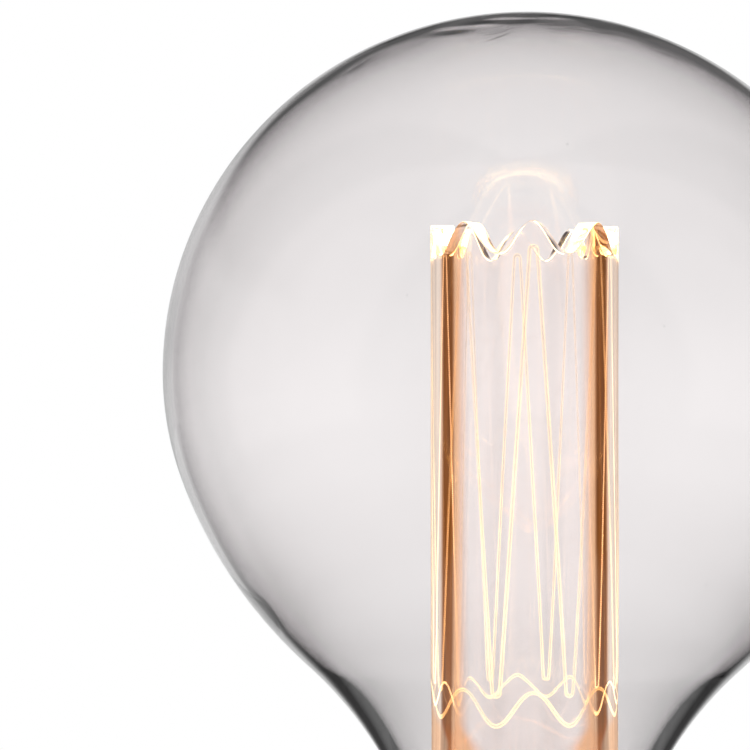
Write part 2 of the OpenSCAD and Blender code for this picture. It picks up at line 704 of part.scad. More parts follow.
// Insulator: black glass cast between the shell's lip and the contact
module cap_insulator() {
    throat_r = lip_d / 2 - bond_gap;
    seat_r = contact_d / 2 + bond_gap;
    rim_w = 0.8;
    rim_low = contact_z + contact_t / 3;
    lip_top = lip_z + shell_t + bond_gap;
    flange_r = shell_in_r - slip_gap;
    color([0.08, 0.08, 0.09])
        rotate_extrude()
            polygon([[insulator_hole_r, contact_top], [seat_r, contact_top], [seat_r, rim_low],
                [seat_r + rim_w, rim_low], [throat_r, lip_z - bond_gap], [throat_r, lip_top],
                [lip_bevel_r - bond_gap, lip_top], [flange_r, lip_top + flange_r - lip_bevel_r + bond_gap],
                [flange_r, insulator_top], [insulator_hole_r, insulator_top]]);
}

module centre_contact() {
    color([0.85, 0.7, 0.4])
        translate([0, 0, contact_z]) ring(contact_d / 2, lead_d / 2 + bond_gap, contact_t);
}

// Solder: a low dome with a worn flat at its tip
module contact_solder() {
    flat_r = 0.3 * solder_d;
    steps = 5;
    function dome(a) = [flat_r + (solder_d / 2 - flat_r) * sin(a), contact_z * (1 - cos(a))];
    color([0.7, 0.7, 0.72])
        rotate_extrude()
            difference() {
                polygon(concat([[0, 0]], [for (k = [0:steps]) dome(90 * k / steps)], [[0, contact_z]]));
                translate([0, contact_z - solder_h / 3 - bond_gap]) square([lead_d / 2 + bond_gap, solder_h]);
            }
}

glass_globe();
neck_cement();
light_guide();
guide_hub();
hub_screws();
lamp_board();
lamp_chips();
lead_solder();
thermal_pad();
heat_sink();
collar();
driver_sleeve();
driver_board();
bridge_rectifier();
smoothing_capacitor();
choke_core();
choke_winding();
driver_chip();
output_diode();
fuse_resistor();
film_capacitor();
live_lead();
neutral_lead();
positive_lead();
negative_lead();
screw_shell();
cap_insulator();
centre_contact();
contact_solder();
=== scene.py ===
import math

import bpy
import numpy as np
from bpy.props import FloatProperty, FloatVectorProperty, IntProperty, PointerProperty
from bpy.types import Operator, Panel, PropertyGroup
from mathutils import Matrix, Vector


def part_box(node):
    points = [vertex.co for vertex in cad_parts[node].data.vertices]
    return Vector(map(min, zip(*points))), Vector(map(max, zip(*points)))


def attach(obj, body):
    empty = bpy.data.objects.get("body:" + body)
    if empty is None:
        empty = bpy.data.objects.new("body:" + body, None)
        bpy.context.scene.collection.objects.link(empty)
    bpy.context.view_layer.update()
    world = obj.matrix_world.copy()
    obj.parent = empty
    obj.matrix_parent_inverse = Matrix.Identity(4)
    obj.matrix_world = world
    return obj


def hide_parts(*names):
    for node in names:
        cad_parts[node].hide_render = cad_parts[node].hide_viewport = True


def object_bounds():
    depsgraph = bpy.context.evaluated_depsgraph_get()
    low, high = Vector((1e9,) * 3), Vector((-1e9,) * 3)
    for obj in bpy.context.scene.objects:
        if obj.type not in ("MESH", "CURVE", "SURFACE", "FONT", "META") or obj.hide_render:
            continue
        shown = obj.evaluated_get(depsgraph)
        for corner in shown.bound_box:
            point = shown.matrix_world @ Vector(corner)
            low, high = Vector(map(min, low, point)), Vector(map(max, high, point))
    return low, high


bl_info = {
    "name": "Light-guide globe bulb",
    "version": (1, 0, 0),
    "blender": (4, 5, 0),
    "location": "View3D > Sidebar > Bulb",
    "description": "Glass, glowing light guide and finishes of a clear globe bulb",
    "category": "Object",
}

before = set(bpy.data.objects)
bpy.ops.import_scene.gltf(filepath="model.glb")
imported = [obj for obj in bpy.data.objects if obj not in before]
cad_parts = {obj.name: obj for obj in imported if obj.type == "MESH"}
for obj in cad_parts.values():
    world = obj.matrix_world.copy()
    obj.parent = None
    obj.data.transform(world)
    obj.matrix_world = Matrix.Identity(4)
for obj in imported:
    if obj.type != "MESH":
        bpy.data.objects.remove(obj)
cad_low, cad_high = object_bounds()

MM = 0.001
TURN = 2 * math.pi
BODY = "root"
# Play between a piece and the recess that it lies in
PLAY = 0.02 * MM
WHITE = (1.0, 1.0, 1.0)
# Corners of the nodes that the new pieces are measured from
globe_low, globe_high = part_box("glass_globe")
guide_low, guide_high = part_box("light_guide")
collar_low, collar_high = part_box("collar")
shell_low, shell_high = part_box("screw_shell")
chips_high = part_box("lamp_chips")[1]


def length(name, description, default):
    """A size in metres."""
    return FloatProperty(
        name=name, description=description, default=default, precision=5, unit="LENGTH", subtype="DISTANCE"
    )


def angle(name, description, degrees):
    """An angle, whose default is given in degrees."""
    return FloatProperty(
        name=name, description=description, default=math.radians(degrees), unit="ROTATION", subtype="ANGLE"
    )


def share(name, description, default):
    """A plain factor."""
    return FloatProperty(name=name, description=description, default=default, precision=3, subtype="FACTOR")


def count(name, description, default):
    return IntProperty(name=name, description=description, default=default, min=1)


def colour(name, description, default):
    """A linear colour."""
    return FloatVectorProperty(
        name=name, description=description, default=default, size=3, min=0.0, max=1.0, subtype="COLOR"
    )


class GlobeSettings(PropertyGroup):
    """Blown glass globe."""

    wall: length("Wall", "Thickness of the glass", 1.4 * MM)
    heel_wall: length("Heel", "Thickness of the glass where the flare meets the neck curve", 2.8 * MM)
    crown_radius: length("Top", "Radius of the slightly flatter top", 63.1 * MM)
    crown_end: angle("Top end", "Angle from the top at which the flatter top ends", 35.5)
    waist_radius: length("Waist", "Radius of the curve just below the widest line", 53.7 * MM)
    shoulder_radius: length("Shoulder", "Radius of the curve above the flare", 79.6 * MM)
    waist_end: angle("Waist end", "Angle from the top at which the waist ends", 110)
    shoulder_end: angle("Shoulder end", "Angle at which the shoulder turns into the flare", 138)
    flare_end: angle("Flare end", "Angle at which the flare turns into the neck curve", 112)
    neck_curve_radius: length("Neck curve", "Radius of the short curve above the neck", 8 * MM)
    neck_radius: length("Neck", "Outer radius of the neck", 20 * MM)
    ripple: length("Ripple", "Waviness of the blown wall's inner face", 0.02 * MM)
    crown_ripple: length("Top ripple", "Extra waviness round the closed top", 0.03 * MM)
    tint: colour("Tint", "Colour that the glass lets through", (1.0, 0.98, 0.981))
    rim_tint: colour("Rim tint", "The same colour at the outline", (0.99, 0.93, 0.955))


class GuideSettings(PropertyGroup):
    """Clear tube with a wavy crown and an engraved line."""

    wall: length("Wall", "Thickness of the tube", 4 * MM)
    waves: count("Waves", "Waves round the crown", 8)
    wave_height: length("Wave height", "Height of the waves, trough to peak", 5.4 * MM)
    wave_turn: angle("Wave turn", "Turn of the first peak from +X", 5.45)
    edge_round: length("Edge", "Radius of the polished edges", 0.2 * MM)
    line_width: length("Line width", "Width of the engraved line", 0.68 * MM)
    line_depth: length("Line depth", "Depth of the engraved line", 0.3 * MM)
    line_pitch: length("Tick pitch", "Distance from one laser tick to the next", 0.36 * MM)
    loop_radius: length("Loop", "Radius of the zigzag's small turns", 0.65 * MM)
    zigzag_drop: length("Zigzag drop", "From the peaks down to the upper turns", 4.3 * MM)
    zigzag_foot: length("Zigzag foot", "From the tube's foot up to the lower turns", 20.8 * MM)
    wave_foot: length("Lower wave", "From the tube's foot up to the lower wave's troughs", 16.2 * MM)
    # Painted glow: the tube is no lamp, and the three glows below stand for the lamps' light in it
    haze: colour("Haze", "Glow that a face of the tube adds, seen face on", (0.024, 0.017, 0.016))
    slant_painted_glow: colour("Slant haze", "The same glow, seen at a slant", (0.18, 0.048, 0.0006))
    rim_painted_glow: colour("Rim haze", "The same glow at the outline", (0.27, 0.21, 0.15))
    # Painted shade: the orange that the tube lets through at a slant darkens the wall's brown bands
    slant_painted_shade: colour("Slant tint", "Colour that the tube lets through at a slant", (0.74, 0.38, 0.17))
    # Painted highlight: what the tube lets through turns pale at the outline
    rim_tint: colour("Rim tint", "The same colour at the outline", (1.0, 0.94, 0.86))
    line_glow: colour("Line glow", "Glow of the engraved line, seen face on", (1.0, 0.72, 0.6))
    line_slant_glow: colour("Line slant glow", "Glow of the line, seen at a slant", (1.0, 0.7, 0.24))
    line_strength: share("Line strength", "Strength of the line's glow", 0.37)
    line_slant: share("Line at a slant", "How much stronger the glow is at a slant", 9.0)
    # Painted reflection: the line's glow is raised only where the globe mirrors it
    line_mirrored: share("Line mirrored", "How much stronger the glow is in a reflection", 8.0)
    line_cover: share("Line cover", "How much each face of the line hides", 0.24)
    foot_glow: colour("Foot glow", "Light that enters the tube at its foot", (1.0, 0.74, 0.36))
    foot_strength: share("Foot strength", "Strength of that light", 8.0)


class LampSettings(PropertyGroup):
    """Ring of lamps under the tube."""

    lamps: count("Lamps", "Lamps round the ring", 24)
    width: length("Width", "Radial width of a lamp", 2.8 * MM)
    length: length("Length", "Length of a lamp along the ring", 3 * MM)
    recess: share("Recess", "Recess in a lamp's frame, as a share of its sides", 0.8)
    recess_depth: length("Recess depth", "Depth of that recess", 0.14 * MM)
    dome: length("Dome", "Height of the phosphor over the frame", 0.12 * MM)
    glow: colour("Glow", "Colour of the lit phosphor", (1.0, 0.62, 0.24))
    strength: share("Strength", "Strength of the lamps", 6.0)


class CollarSettings(PropertyGroup):
    """Spun collar between the glass and the cap."""

    wall: length("Wall", "Thickness of the sheet", 1.2 * MM)
    bowl_radius: length("Bowl", "Radius of the round underside", 8 * MM)
    cement_wall: length("Cement", "Cement between the neck and the collar", 1.2 * MM)
    neck_radius: length("Neck", "Outer radius of the glass neck", 20 * MM)
    hole_radius: length("Hole", "Radius of the hole over the cap's edge", 12.8 * MM)
    metal: colour("Metal", "Colour of the collar", (0.72, 0.69, 0.63))


class DriverSettings(PropertyGroup):
    """Colours of the driver."""

    board: colour("Board", "Colour of the solder mask", (0.02, 0.12, 0.04))
    red: colour("Red lead", "Colour of the live and positive leads", (0.42, 0.03, 0.02))


class CapSettings(PropertyGroup):
    """Rolled screw cap."""

    pitch: length("Pitch", "Distance from one turn to the next", 3.629 * MM)
    depth: length("Depth", "Depth of the round thread", 0.95 * MM)
    skirt: length("Skirt", "Height of the smooth skirt", 4 * MM)
    sheet: length("Sheet", "Thickness of the rolled sheet", 0.3 * MM)
    lip_radius: length("Lip", "Inner radius of the lower lip", 10.25 * MM)
    lip_rise: length("Lip rise", "Height of the plain wall above the lip", 1.6 * MM)
    punches: count("Punches", "Punch marks that crimp the skirt", 8)
    punch_drop: length("Punch drop", "From the skirt's edge down to the punch marks", 1.6 * MM)
    punch_radius: length("Punch radius", "Half width of a punch mark", 0.55 * MM)
    punch_depth: length("Punch depth", "Depth of a punch mark", 0.14 * MM)
    metal: colour("Metal", "Colour of the plating", (0.8, 0.79, 0.76))


class StageSettings(PropertyGroup):
    """Camera, backdrop and lamps."""

    distance: length("Distance", "Camera to the bulb's axis", 471.1 * MM)
    height: length("Height", "Camera above the contact tip", 110.96 * MM)
    lens: share("Lens", "Focal length in millimetres, on a 36 mm sensor", 130.3)
    turn: angle("Turn", "How far the camera looks to the left of the axis", 3.15)
    tilt: angle("Tilt", "How far the camera looks up", 0.195)
    floor_radius: length("Floor", "Radius of the floor", 1.2)
    shade_radius: length("Shade", "Radius within which the floor shows the bulb's shadow", 0.12)
    clear_radius: length("Clear", "Radius past which the floor is plain white", 0.34)
    floor_dim: share("Floor through glass", "Brightness of the near floor behind clear parts", 0.86)
    ambient: share("Ambient", "Light that the room sends from all sides", 0.62)
    key_power: share("Key", "Power of the key lamp in watts", 7.0)
    fill_power: share("Fill", "Power of the fill lamp in watts", 3.0)


# Grids and skins


def skin(grid, close_rows=False):
    """Points and faces of a grid (rows, columns, 3), closed from the last column to the first. Each
    face joins four neighbours. An end row whose points all coincide is a pole: it keeps one point, and
    its faces are triangles."""
    rows, columns = grid.shape[:2]
    index = np.arange(rows * columns).reshape(rows, columns)
    for row in (0, rows - 1):
        if np.ptp(grid[row], axis=0).max() < 1e-9:
            index[row] = index[row, 0]
    upper = index if close_rows else index[:-1]
    lower = np.roll(index, -1, axis=0) if close_rows else index[1:]
    sides = [upper, np.roll(upper, -1, axis=1), np.roll(lower, -1, axis=1), lower]
    quads = np.stack(sides, axis=-1).reshape(-1, 4)
    used, quads = np.unique(quads, return_inverse=True)
    return grid.reshape(-1, 3)[used], quads.reshape(-1, 4)


def outward(points, quads):
    """The faces, turned over if the closed surface's volume comes out negative: the volume is a
    sixth of the sum of the triple products of each triangle's corners."""
    first, second, third, fourth = (points[quads[:, i]] for i in range(4))
    volume = np.einsum("ij,ij->i", first, np.cross(second, third)).sum()
    volume += np.einsum("ij,ij->i", first, np.cross(third, fourth)).sum()
    return quads if volume > 0 else quads[:, ::-1]


def joined(parts):
    """Several skins as one, their point numbers shifted."""
    offsets = np.cumsum([0] + [len(points) for points, _ in parts[:-1]])
    return np.vstack([p for p, _ in parts]), np.vstack([q + o for (_, q), o in zip(parts, offsets)])


def around_axis(radius, height, columns, start=0.0):
    """Grid of a surface of revolution: radius and height of each row, carried round the axis.
    Either may also be a full grid (rows, columns)."""
    turn = start + np.arange(columns) * TURN / columns
    radius = np.broadcast_to(np.atleast_2d(radius.T).T, (len(radius), columns))
    height = np.broadcast_to(np.atleast_2d(height.T).T, (len(height), columns))
    return np.stack([radius * np.cos(turn), radius * np.sin(turn), height], axis=-1)


def directions(turn):
    """Unit vectors at angles from the first axis."""
    return np.stack([np.cos(turn), np.sin(turn)], axis=-1)


def new_object(name, data):
    made = bpy.data.objects.new(name, data)
    bpy.context.scene.collection.objects.link(made)
    return made


def new_mesh(name, points, quads):
    """A mesh of these points and faces. A face at a pole names one point twice, and is given as a
    triangle."""
    keep = np.ones(quads.shape, bool)
    keep[:, 1] = quads[:, 1] != quads[:, 0]
    keep[:, 3] = quads[:, 3] != quads[:, 2]
    corners = quads[keep]
    sides = keep.sum(axis=1)
    mesh = bpy.data.meshes.new(name)
    mesh.vertices.add(len(points))
    mesh.vertices.foreach_set("co", points.ravel())
    mesh.loops.add(len(corners))
    mesh.loops.foreach_set("vertex_index", corners.astype(np.int32))
    mesh.polygons.add(len(quads))
    mesh.polygons.foreach_set("loop_start", (np.cumsum(sides) - sides).astype(np.int32))
    mesh.update(calc_edges=True)
    return mesh


def piece(name, shape, materials, replaces=(), sharp=35.0, kinds=None, marks=None):
    """A closed mesh that rides on the bulb's body. kinds is the material number of each face, and
    marks are named numbers on each point that a material may read."""
    points, quads = shape
    mesh = new_mesh(name, points, outward(points, quads))
    if kinds is not None:
        mesh.polygons.foreach_set("material_index", kinds)
    for mark, values in (marks or {}).items():
        mesh.attributes.new(mark, "FLOAT", "POINT").data.foreach_set("value", values)
    mesh.shade_smooth()
    mesh.set_sharp_from_angle(angle=math.radians(sharp))
    for finish in materials:
        mesh.materials.append(finish)
    made = new_object(name, mesh)
    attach(made, BODY)
    if replaces:
        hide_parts(*replaces)


def dress(finish, *nodes):
    """CAD nodes that keep their shape get their finish."""
    for node in nodes:
        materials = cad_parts[node].data.materials
        materials.clear()
        materials.append(finish)


# Shader nodes


def titled(values):
    """Names such as base_color written as the sockets' own, such as Base Color."""
    return {key.replace("_", " ").title().replace("Ior", "IOR"): value for key, value in values.items()}


class Signal:
    """Output of a shader node. The signs +, -, * and / add Math nodes that work with it."""

    def __init__(self, nodes, socket):
        self.nodes = nodes
        self.socket = socket

    def math(self, operation, *others, clamp=False):
        return self.nodes.math(operation, self, *others, clamp=clamp)

    def __add__(self, other):
        return self.math("ADD", other)

    def __sub__(self, other):
        return self.math("SUBTRACT", other)

    def __rsub__(self, other):
        return self.nodes.math("SUBTRACT", other, self)

    def __mul__(self, other):
        return self.math("MULTIPLY", other)

    def __truediv__(self, other):
        return self.math("DIVIDE", other)

    def __abs__(self):
        return self.math("ABSOLUTE")

    def above(self, level):
        """One where the value is above the level, else nothing."""
        return self.math("GREATER_THAN", level)

    def below(self, level):
        """One where the value is below the level, else nothing."""
        return self.math("LESS_THAN", level)

    def larger(self, other):
        return self.math("MAXIMUM", other)

    def step(self, low, high, to_low=0.0, to_high=1.0):
        """A smooth step to another level, while the value goes from low to high."""
        sockets = {"Value": self, "From Min": low, "From Max": high, "To Min": to_low, "To Max": to_high}
        return self.nodes.add("MapRange", sockets, interpolation_type="SMOOTHSTEP")

    def mix(self, first, second):
        """The first colour, turned into the second by this value."""
        return self.nodes.add("Mix", {0: self, 6: first, 7: second}, 2, data_type="RGBA")

    def blend(self, first, second):
        """The first number, turned into the second by this value."""
        return self.nodes.add("Mix", {0: self, 2: first, 3: second}, data_type="FLOAT")

    def scaled(self, amount):
        """A colour times a number."""
        return self.nodes.add("VectorMath", {0: self, "Scale": amount}, operation="SCALE")

    def along(self, way):
        """How far a direction points along another."""
        return self.nodes.add("VectorMath", {0: self, 1: way}, "Value", operation="DOT_PRODUCT")


class Nodes:
    """Shader nodes of one tree. An input is a plain value or a signal."""

    def __init__(self, tree, place="Object"):
        self.tree = tree
        self.place = self.add("TexCoord", output=place)

    def feed(self, node, inputs):
        """Values and signals for a node's inputs. A colour is given without its alpha."""
        for key, value in inputs.items():
            socket = node.inputs[key]
            if isinstance(value, Signal):
                self.tree.links.new(value.socket, socket)
            elif socket.type == "RGBA":
                socket.default_value = (*value, 1.0)
            else:
                socket.default_value = value

    def node(self, kind, inputs=None, **settings):
        made = self.tree.nodes.new("ShaderNode" + kind)
        for key, value in settings.items():
            setattr(made, key, value)
        self.feed(made, inputs or {})
        return made

    def outputs(self, node):
        """Every output of a node by its name."""
        return {socket.name: Signal(self, socket) for socket in node.outputs}

    def add(self, kind, inputs=None, output=0, **settings):
        """One output of a new node."""
        return Signal(self, self.node(kind, inputs, **settings).outputs[output])

    def math(self, operation, *values, clamp=False):
        return self.add("Math", dict(enumerate(values)), operation=operation, use_clamp=clamp)

    def axes(self):
        """The place's three coordinates."""
        return list(self.outputs(self.node("SeparateXYZ", {0: self.place})).values())

    def radius(self):
        """Distance from the bulb's axis."""
        flat = self.add("VectorMath", {0: self.place, 1: (1.0, 1.0, 0.0)}, operation="MULTIPLY")
        return self.add("VectorMath", {0: flat}, "Value", operation="LENGTH")

    def noise(self, scale, detail, place=None):
        return self.add("TexNoise", {"Vector": place or self.place, "Scale": scale, "Detail": detail})

    def specks(self, scale, place=None):
        """Distance to the nearest of many scattered points."""
        inputs = {"Vector": place or self.place, "Scale": scale}
        return self.add("TexVoronoi", inputs, "Distance", feature="F1")

    def stretched(self, scale):
        """The place, stretched along the axis where the scale is below one."""
        return self.add("Mapping", {"Vector": self.place, "Scale": (1.0, 1.0, scale)})

    def slant(self):
        """Nothing where a surface is seen face on, and one where it is seen edge on."""
        return self.add("LayerWeight", {"Blend": 0.5}, "Facing")

    def path(self):
        return self.outputs(self.node("LightPath"))

    def mark(self, name):
        """A named number that the mesh carries on its points."""
        return self.add("Attribute", output="Fac", attribute_name=name)

    def group(self, name, build, **values):
        """Outputs of a shared node group, which is built once."""
        tree = bpy.data.node_groups.get(name) or build(name)
        return self.outputs(self.node("Group", titled(values), node_tree=tree))


class Finish(Nodes):
    """A material with one Principled shader, whose values are given by name."""

    def __init__(self, name, **values):
        self.material = bpy.data.materials.new(name)
        self.material.use_nodes = True
        super().__init__(self.material.node_tree)
        self.shader = self.tree.nodes["Principled BSDF"]
        self.set(**values)

    def set(self, **values):
        self.feed(self.shader, titled(values))

    def bump(self, height, distance):
        """Height in metres, as a bump on the shader's normal."""
        self.set(normal=self.add("Bump", {"Height": height, "Distance": distance, "Strength": 1.0}))

    def worked(self, first, second, roughness, spread, grain, patch, patch_share=0.5):
        """Colour, roughness and height of a worked surface of two close colours."""
        return self.group(
            "Worked surface", build_worked_surface, colour=first, second_colour=second, patch_scale=patch,
            patch_share=patch_share, grain_scale=grain, roughness=roughness, spread=spread,
        )

    def cover(self, factor, shader):
        """Shows another shader in place of the material's own, by a factor."""
        own = Signal(self, self.shader.outputs[0])
        both = self.add("MixShader", {0: factor, 1: own, 2: shader})
        self.feed(self.tree.nodes["Material Output"], {"Surface": both})


class Group(Nodes):
    """A new node group. An input's default is a number or a colour, and an output has its kind."""

    def __init__(self, name, inputs, outputs):
        tree = bpy.data.node_groups.new(name, "ShaderNodeTree")
        for key, default in inputs.items():
            kind = "Float" if isinstance(default, float) else "Color"
            made = tree.interface.new_socket(name=key, in_out="INPUT", socket_type="NodeSocket" + kind)
            made.default_value = default if kind == "Float" else (*default, 1.0)
        for key, kind in outputs.items():
            tree.interface.new_socket(name=key, in_out="OUTPUT", socket_type="NodeSocket" + kind)
        super().__init__(tree)
        self.given = self.outputs(tree.nodes.new("NodeGroupInput"))

    def give(self, **values):
        """Signals that the group puts out."""
        self.feed(self.tree.nodes.new("NodeGroupOutput"), titled(values))
        return self.tree


def build_worked_surface(name):
    """Grain and patches of a worked surface: fine noise moves the roughness and the height, and
    broad noise mixes in a second colour."""
    group = Group(
        name,
        {
            "Colour": (0.8, 0.8, 0.8),
            "Second Colour": (0.6, 0.6, 0.6),
            "Patch Scale": 60.0,
            "Patch Share": 0.5,
            "Grain Scale": 900.0,
            "Roughness": 0.5,
            "Spread": 0.15,
        },
        {"Colour": "Color", "Roughness": "Float", "Height": "Float"},
    )
    given = group.given
    grain = group.noise(given["Grain Scale"], 3.0)
    patch = group.noise(given["Patch Scale"], 5.0)
    mask = patch.step(0.42, 0.68) * given["Patch Share"]
    rough = given["Roughness"] + (patch - 0.5) * given["Spread"]
    rough = rough.math("ADD", (grain - 0.5) * given["Spread"], clamp=True)
    shade = mask.mix(given["Colour"], given["Second Colour"])
    return group.give(colour=shade, roughness=rough, height=grain)


def build_turned_lines(name):
    """Fine rings left by a lathe tool or a spinning roller: a sine of the distance along the profile,
    taken as the height plus the distance from the axis, broken up by noise that has no turn in it."""
    group = Group(name, {"Spacing": 0.00035, "Break": 0.4}, {"Height": "Float", "Mask": "Float"})
    height = group.axes()[2]
    radius = group.radius()
    phase = (radius + height) / group.given["Spacing"] * TURN
    profile = group.add("CombineXYZ", {0: radius, 1: height, 2: 0.0})
    noise = group.noise(2600.0, 2.0, profile)
    lines = phase.math("SINE") * 0.25 + 0.5 + (noise - 0.5) * group.given["Break"]
    return group.give(height=lines, mask=noise.step(0.35, 0.7))


def build_edge_wear(name):
    """Mask of rubbed edges: how far the normal of a rounded copy of the shape turns from the face's
    own, broken up by noise."""
    group = Group(name, {"Width": 0.0004, "Amount": 1.0}, {"Mask": "Float"})
    rounded = group.add("Bevel", {"Radius": group.given["Width"]}, samples=3)
    own = group.add("NewGeometry", output="Normal")
    edge = (1.0 - rounded.along(own)).step(0.02, 0.2)
    broken = edge * group.noise(400.0, 4.0).step(0.35, 0.6)
    return group.give(mask=broken.math("MULTIPLY", group.given["Amount"], clamp=True))


def plain_finish(name, first, second, roughness, spread=0.15, grain=900.0, depth=0.02 * MM, patch=60.0,
                 **values):
    """A finish of two close colours with grain: the base of most opaque parts."""
    finish = Finish(name, **values)
    parts = finish.worked(first, second, roughness, spread, grain, patch)
    finish.set(base_color=parts["Colour"], roughness=parts["Roughness"])
    finish.bump(parts["Height"], depth)
    return finish.material


def metal_finish(name, first, second, roughness, spread=0.12, spacing=None, depth=0.01 * MM, patch=80.0,
                 patch_share=0.5, worn=None, grain=1200.0, line_share=0.6):
    """A metal with patches and grain. With a spacing it also has turned lines, and with a worn colour
    its edges are rubbed bright."""
    finish = Finish(name, metallic=1.0)
    parts = finish.worked(first, second, roughness, spread, grain, patch, patch_share)
    shade, rough, height = parts["Colour"], parts["Roughness"], parts["Height"]
    if spacing:
        lines = finish.group("Turned lines", build_turned_lines, spacing=spacing)
        shade = (lines["Mask"] * 0.25).mix(shade, second)
        height = height * (1 - line_share) + lines["Height"] * line_share
    if worn:
        edge = finish.group("Edge wear", build_edge_wear, width=0.25 * MM, amount=0.8)["Mask"]
        shade = edge.mix(shade, worn)
        rough = rough.math("SUBTRACT", edge * 0.1, clamp=True)
    finish.set(base_color=shade, roughness=rough)
    finish.bump(height, depth)
    return finish.material


# Glass

# Blemishes of the blown wall: the turn from +X in degrees and, in millimetres, the distance from the
# top along the wall, the added thickness, and the half widths round the wall and along it
BLEMISHES = (
    (-118.4, 25.6, 0.09, 3.2, 1.4),
    (-108.0, 22.6, -0.07, 2.6, 1.2),
    (-98.0, 20.3, 0.1, 4.5, 1.2),
    (-74.0, 17.5, -0.06, 3.0, 1.5),
    (-50.0, 16.3, 0.08, 3.6, 1.3),
    (-168.0, 31.0, 0.1, 2.6, 2.4),
    (120.0, 24.0, 0.06, 5.0, 2.5),
    (60.0, 36.0, 0.05, 6.0, 3.0),
    (192.0, 142.4, 0.75, 8.5, 2.2),
)
# Ripple round the closed top: waves round the axis, radians to a metre of wall, and phase
TOP_RIPPLES = ((7, 310, 0.4), (11, -190, 2.1), (5, 430, 3.9), (16, 240, 5.2), (9, -370, 1.3))


def clear_glass(settings):
    """Clear blown glass with faint smears, dust and waves. Lamps shine through it, so what is inside
    isn't left in the dark."""
    finish = Finish("Clear blown glass", roughness=0.0, ior=1.5, transmission_weight=1.0)
    cloud = finish.noise(30.0, 4.0)
    dust = finish.specks(120.0).step(0.04, 0.02) * cloud.step(0.5, 0.62)
    smeared = [channel * 0.985 for channel in settings.tint]
    body = cloud.step(0.35, 0.75).mix(settings.tint, smeared)
    body = finish.slant().step(0.55, 1.0).mix(body, settings.rim_tint)
    finish.set(base_color=dust.mix(body, (0.72, 0.7, 0.7)))
    finish.bump(finish.noise(34.0, 1.0), 0.1 * MM)
    let_through = finish.add("BsdfTransparent", {"Color": (0.93, 0.93, 0.93)})
    finish.cover(finish.path()["Is Shadow Ray"], let_through)
    return finish.material


def blemishes(turn, run, widest):
    """Extra thickness of the wall: a sum of bell curves, each of the distance from its middle round the
    wall and along it. Round the wall the distance is an arm times the turn, where the arm is the widest
    radius times the sine of the distance from the top over that radius, up to a quarter turn."""
    total = np.zeros((len(run), len(turn)))
    for degrees, place, depth, wide, long in BLEMISHES:
        away = (turn - math.radians(degrees) + math.pi) % TURN - math.pi
        arm = widest * math.sin(min(place * MM / widest, math.pi / 2))
        round_wall = (away * arm / (wide * MM)) ** 2
        down_wall = ((run - place * MM) / (long * MM)) ** 2
        total += depth * np.exp(-round_wall - down_wall)
    return total * MM


def globe_profile(settings):
    """Outline of the globe, its angle from the top and its wall's thickness at each point. The outline
    is a chain of arcs that meet at shared tangents: a point is the arc's centre plus its radius along
    the direction at an angle from the top, and each next centre lies on the last arc's end normal. The
    wall grows to the heel's along the flare and shrinks back along the neck curve, by half of one minus
    the cosine of the way along the arc, raised to the power 0.65 on the flare."""
    step = math.radians(1.0)
    wall, neck = settings.wall, settings.neck_radius
    waist, shoulder, curve = settings.waist_radius, settings.shoulder_radius, settings.neck_curve_radius
    widest, crown = globe_high.x, settings.crown_radius
    lean = math.sin(settings.crown_end)
    side_radius = (widest - crown * lean) / (1 - lean)
    shoulder_x = widest + waist * (math.sin(settings.waist_end) - 1)
    shoulder_x += shoulder * (math.sin(settings.shoulder_end) - math.sin(settings.waist_end))
    flare = shoulder_x - neck - curve * (1 - math.sin(settings.flare_end))
    flare /= math.sin(settings.flare_end) - math.sin(settings.shoulder_end)
    radii = [crown, side_radius, waist, shoulder, -flare, -curve]
    ends = [0.0, settings.crown_end, math.pi / 2, settings.waist_end, settings.shoulder_end,
            settings.flare_end, math.pi / 2]
    # Share of the heel's extra thickness at each arc's start and end
    heel_shares = [(0, 0), (0, 0), (0, 0), (0, 0), (0, 1), (1, 0)]
    centre = np.array([0.0, globe_high.z - crown])
    profile, angles, thick, last = [], [], [], crown
    for radius, start, end, (heel_start, heel_end) in zip(radii, ends[:-1], ends[1:], heel_shares):
        centre = centre + (last - radius) * np.array([math.sin(start), math.cos(start)])
        turn = np.linspace(start, end, 1 + math.ceil(abs(end - start) / step))
        turn = turn[1:] if profile else turn
        profile.append(centre + radius * np.stack([np.sin(turn), np.cos(turn)], axis=-1))
        angles.append(turn)
        swell = (1 - np.cos(math.pi * (turn - start) / (end - start))) / 2
        swell = swell ** (1 - 0.35 * heel_end)
        thick.append(wall + (settings.heel_wall - wall) * (heel_start + (heel_end - heel_start) * swell))
        last = radius
    return np.vstack(profile), np.concatenate(angles), np.concatenate(thick)


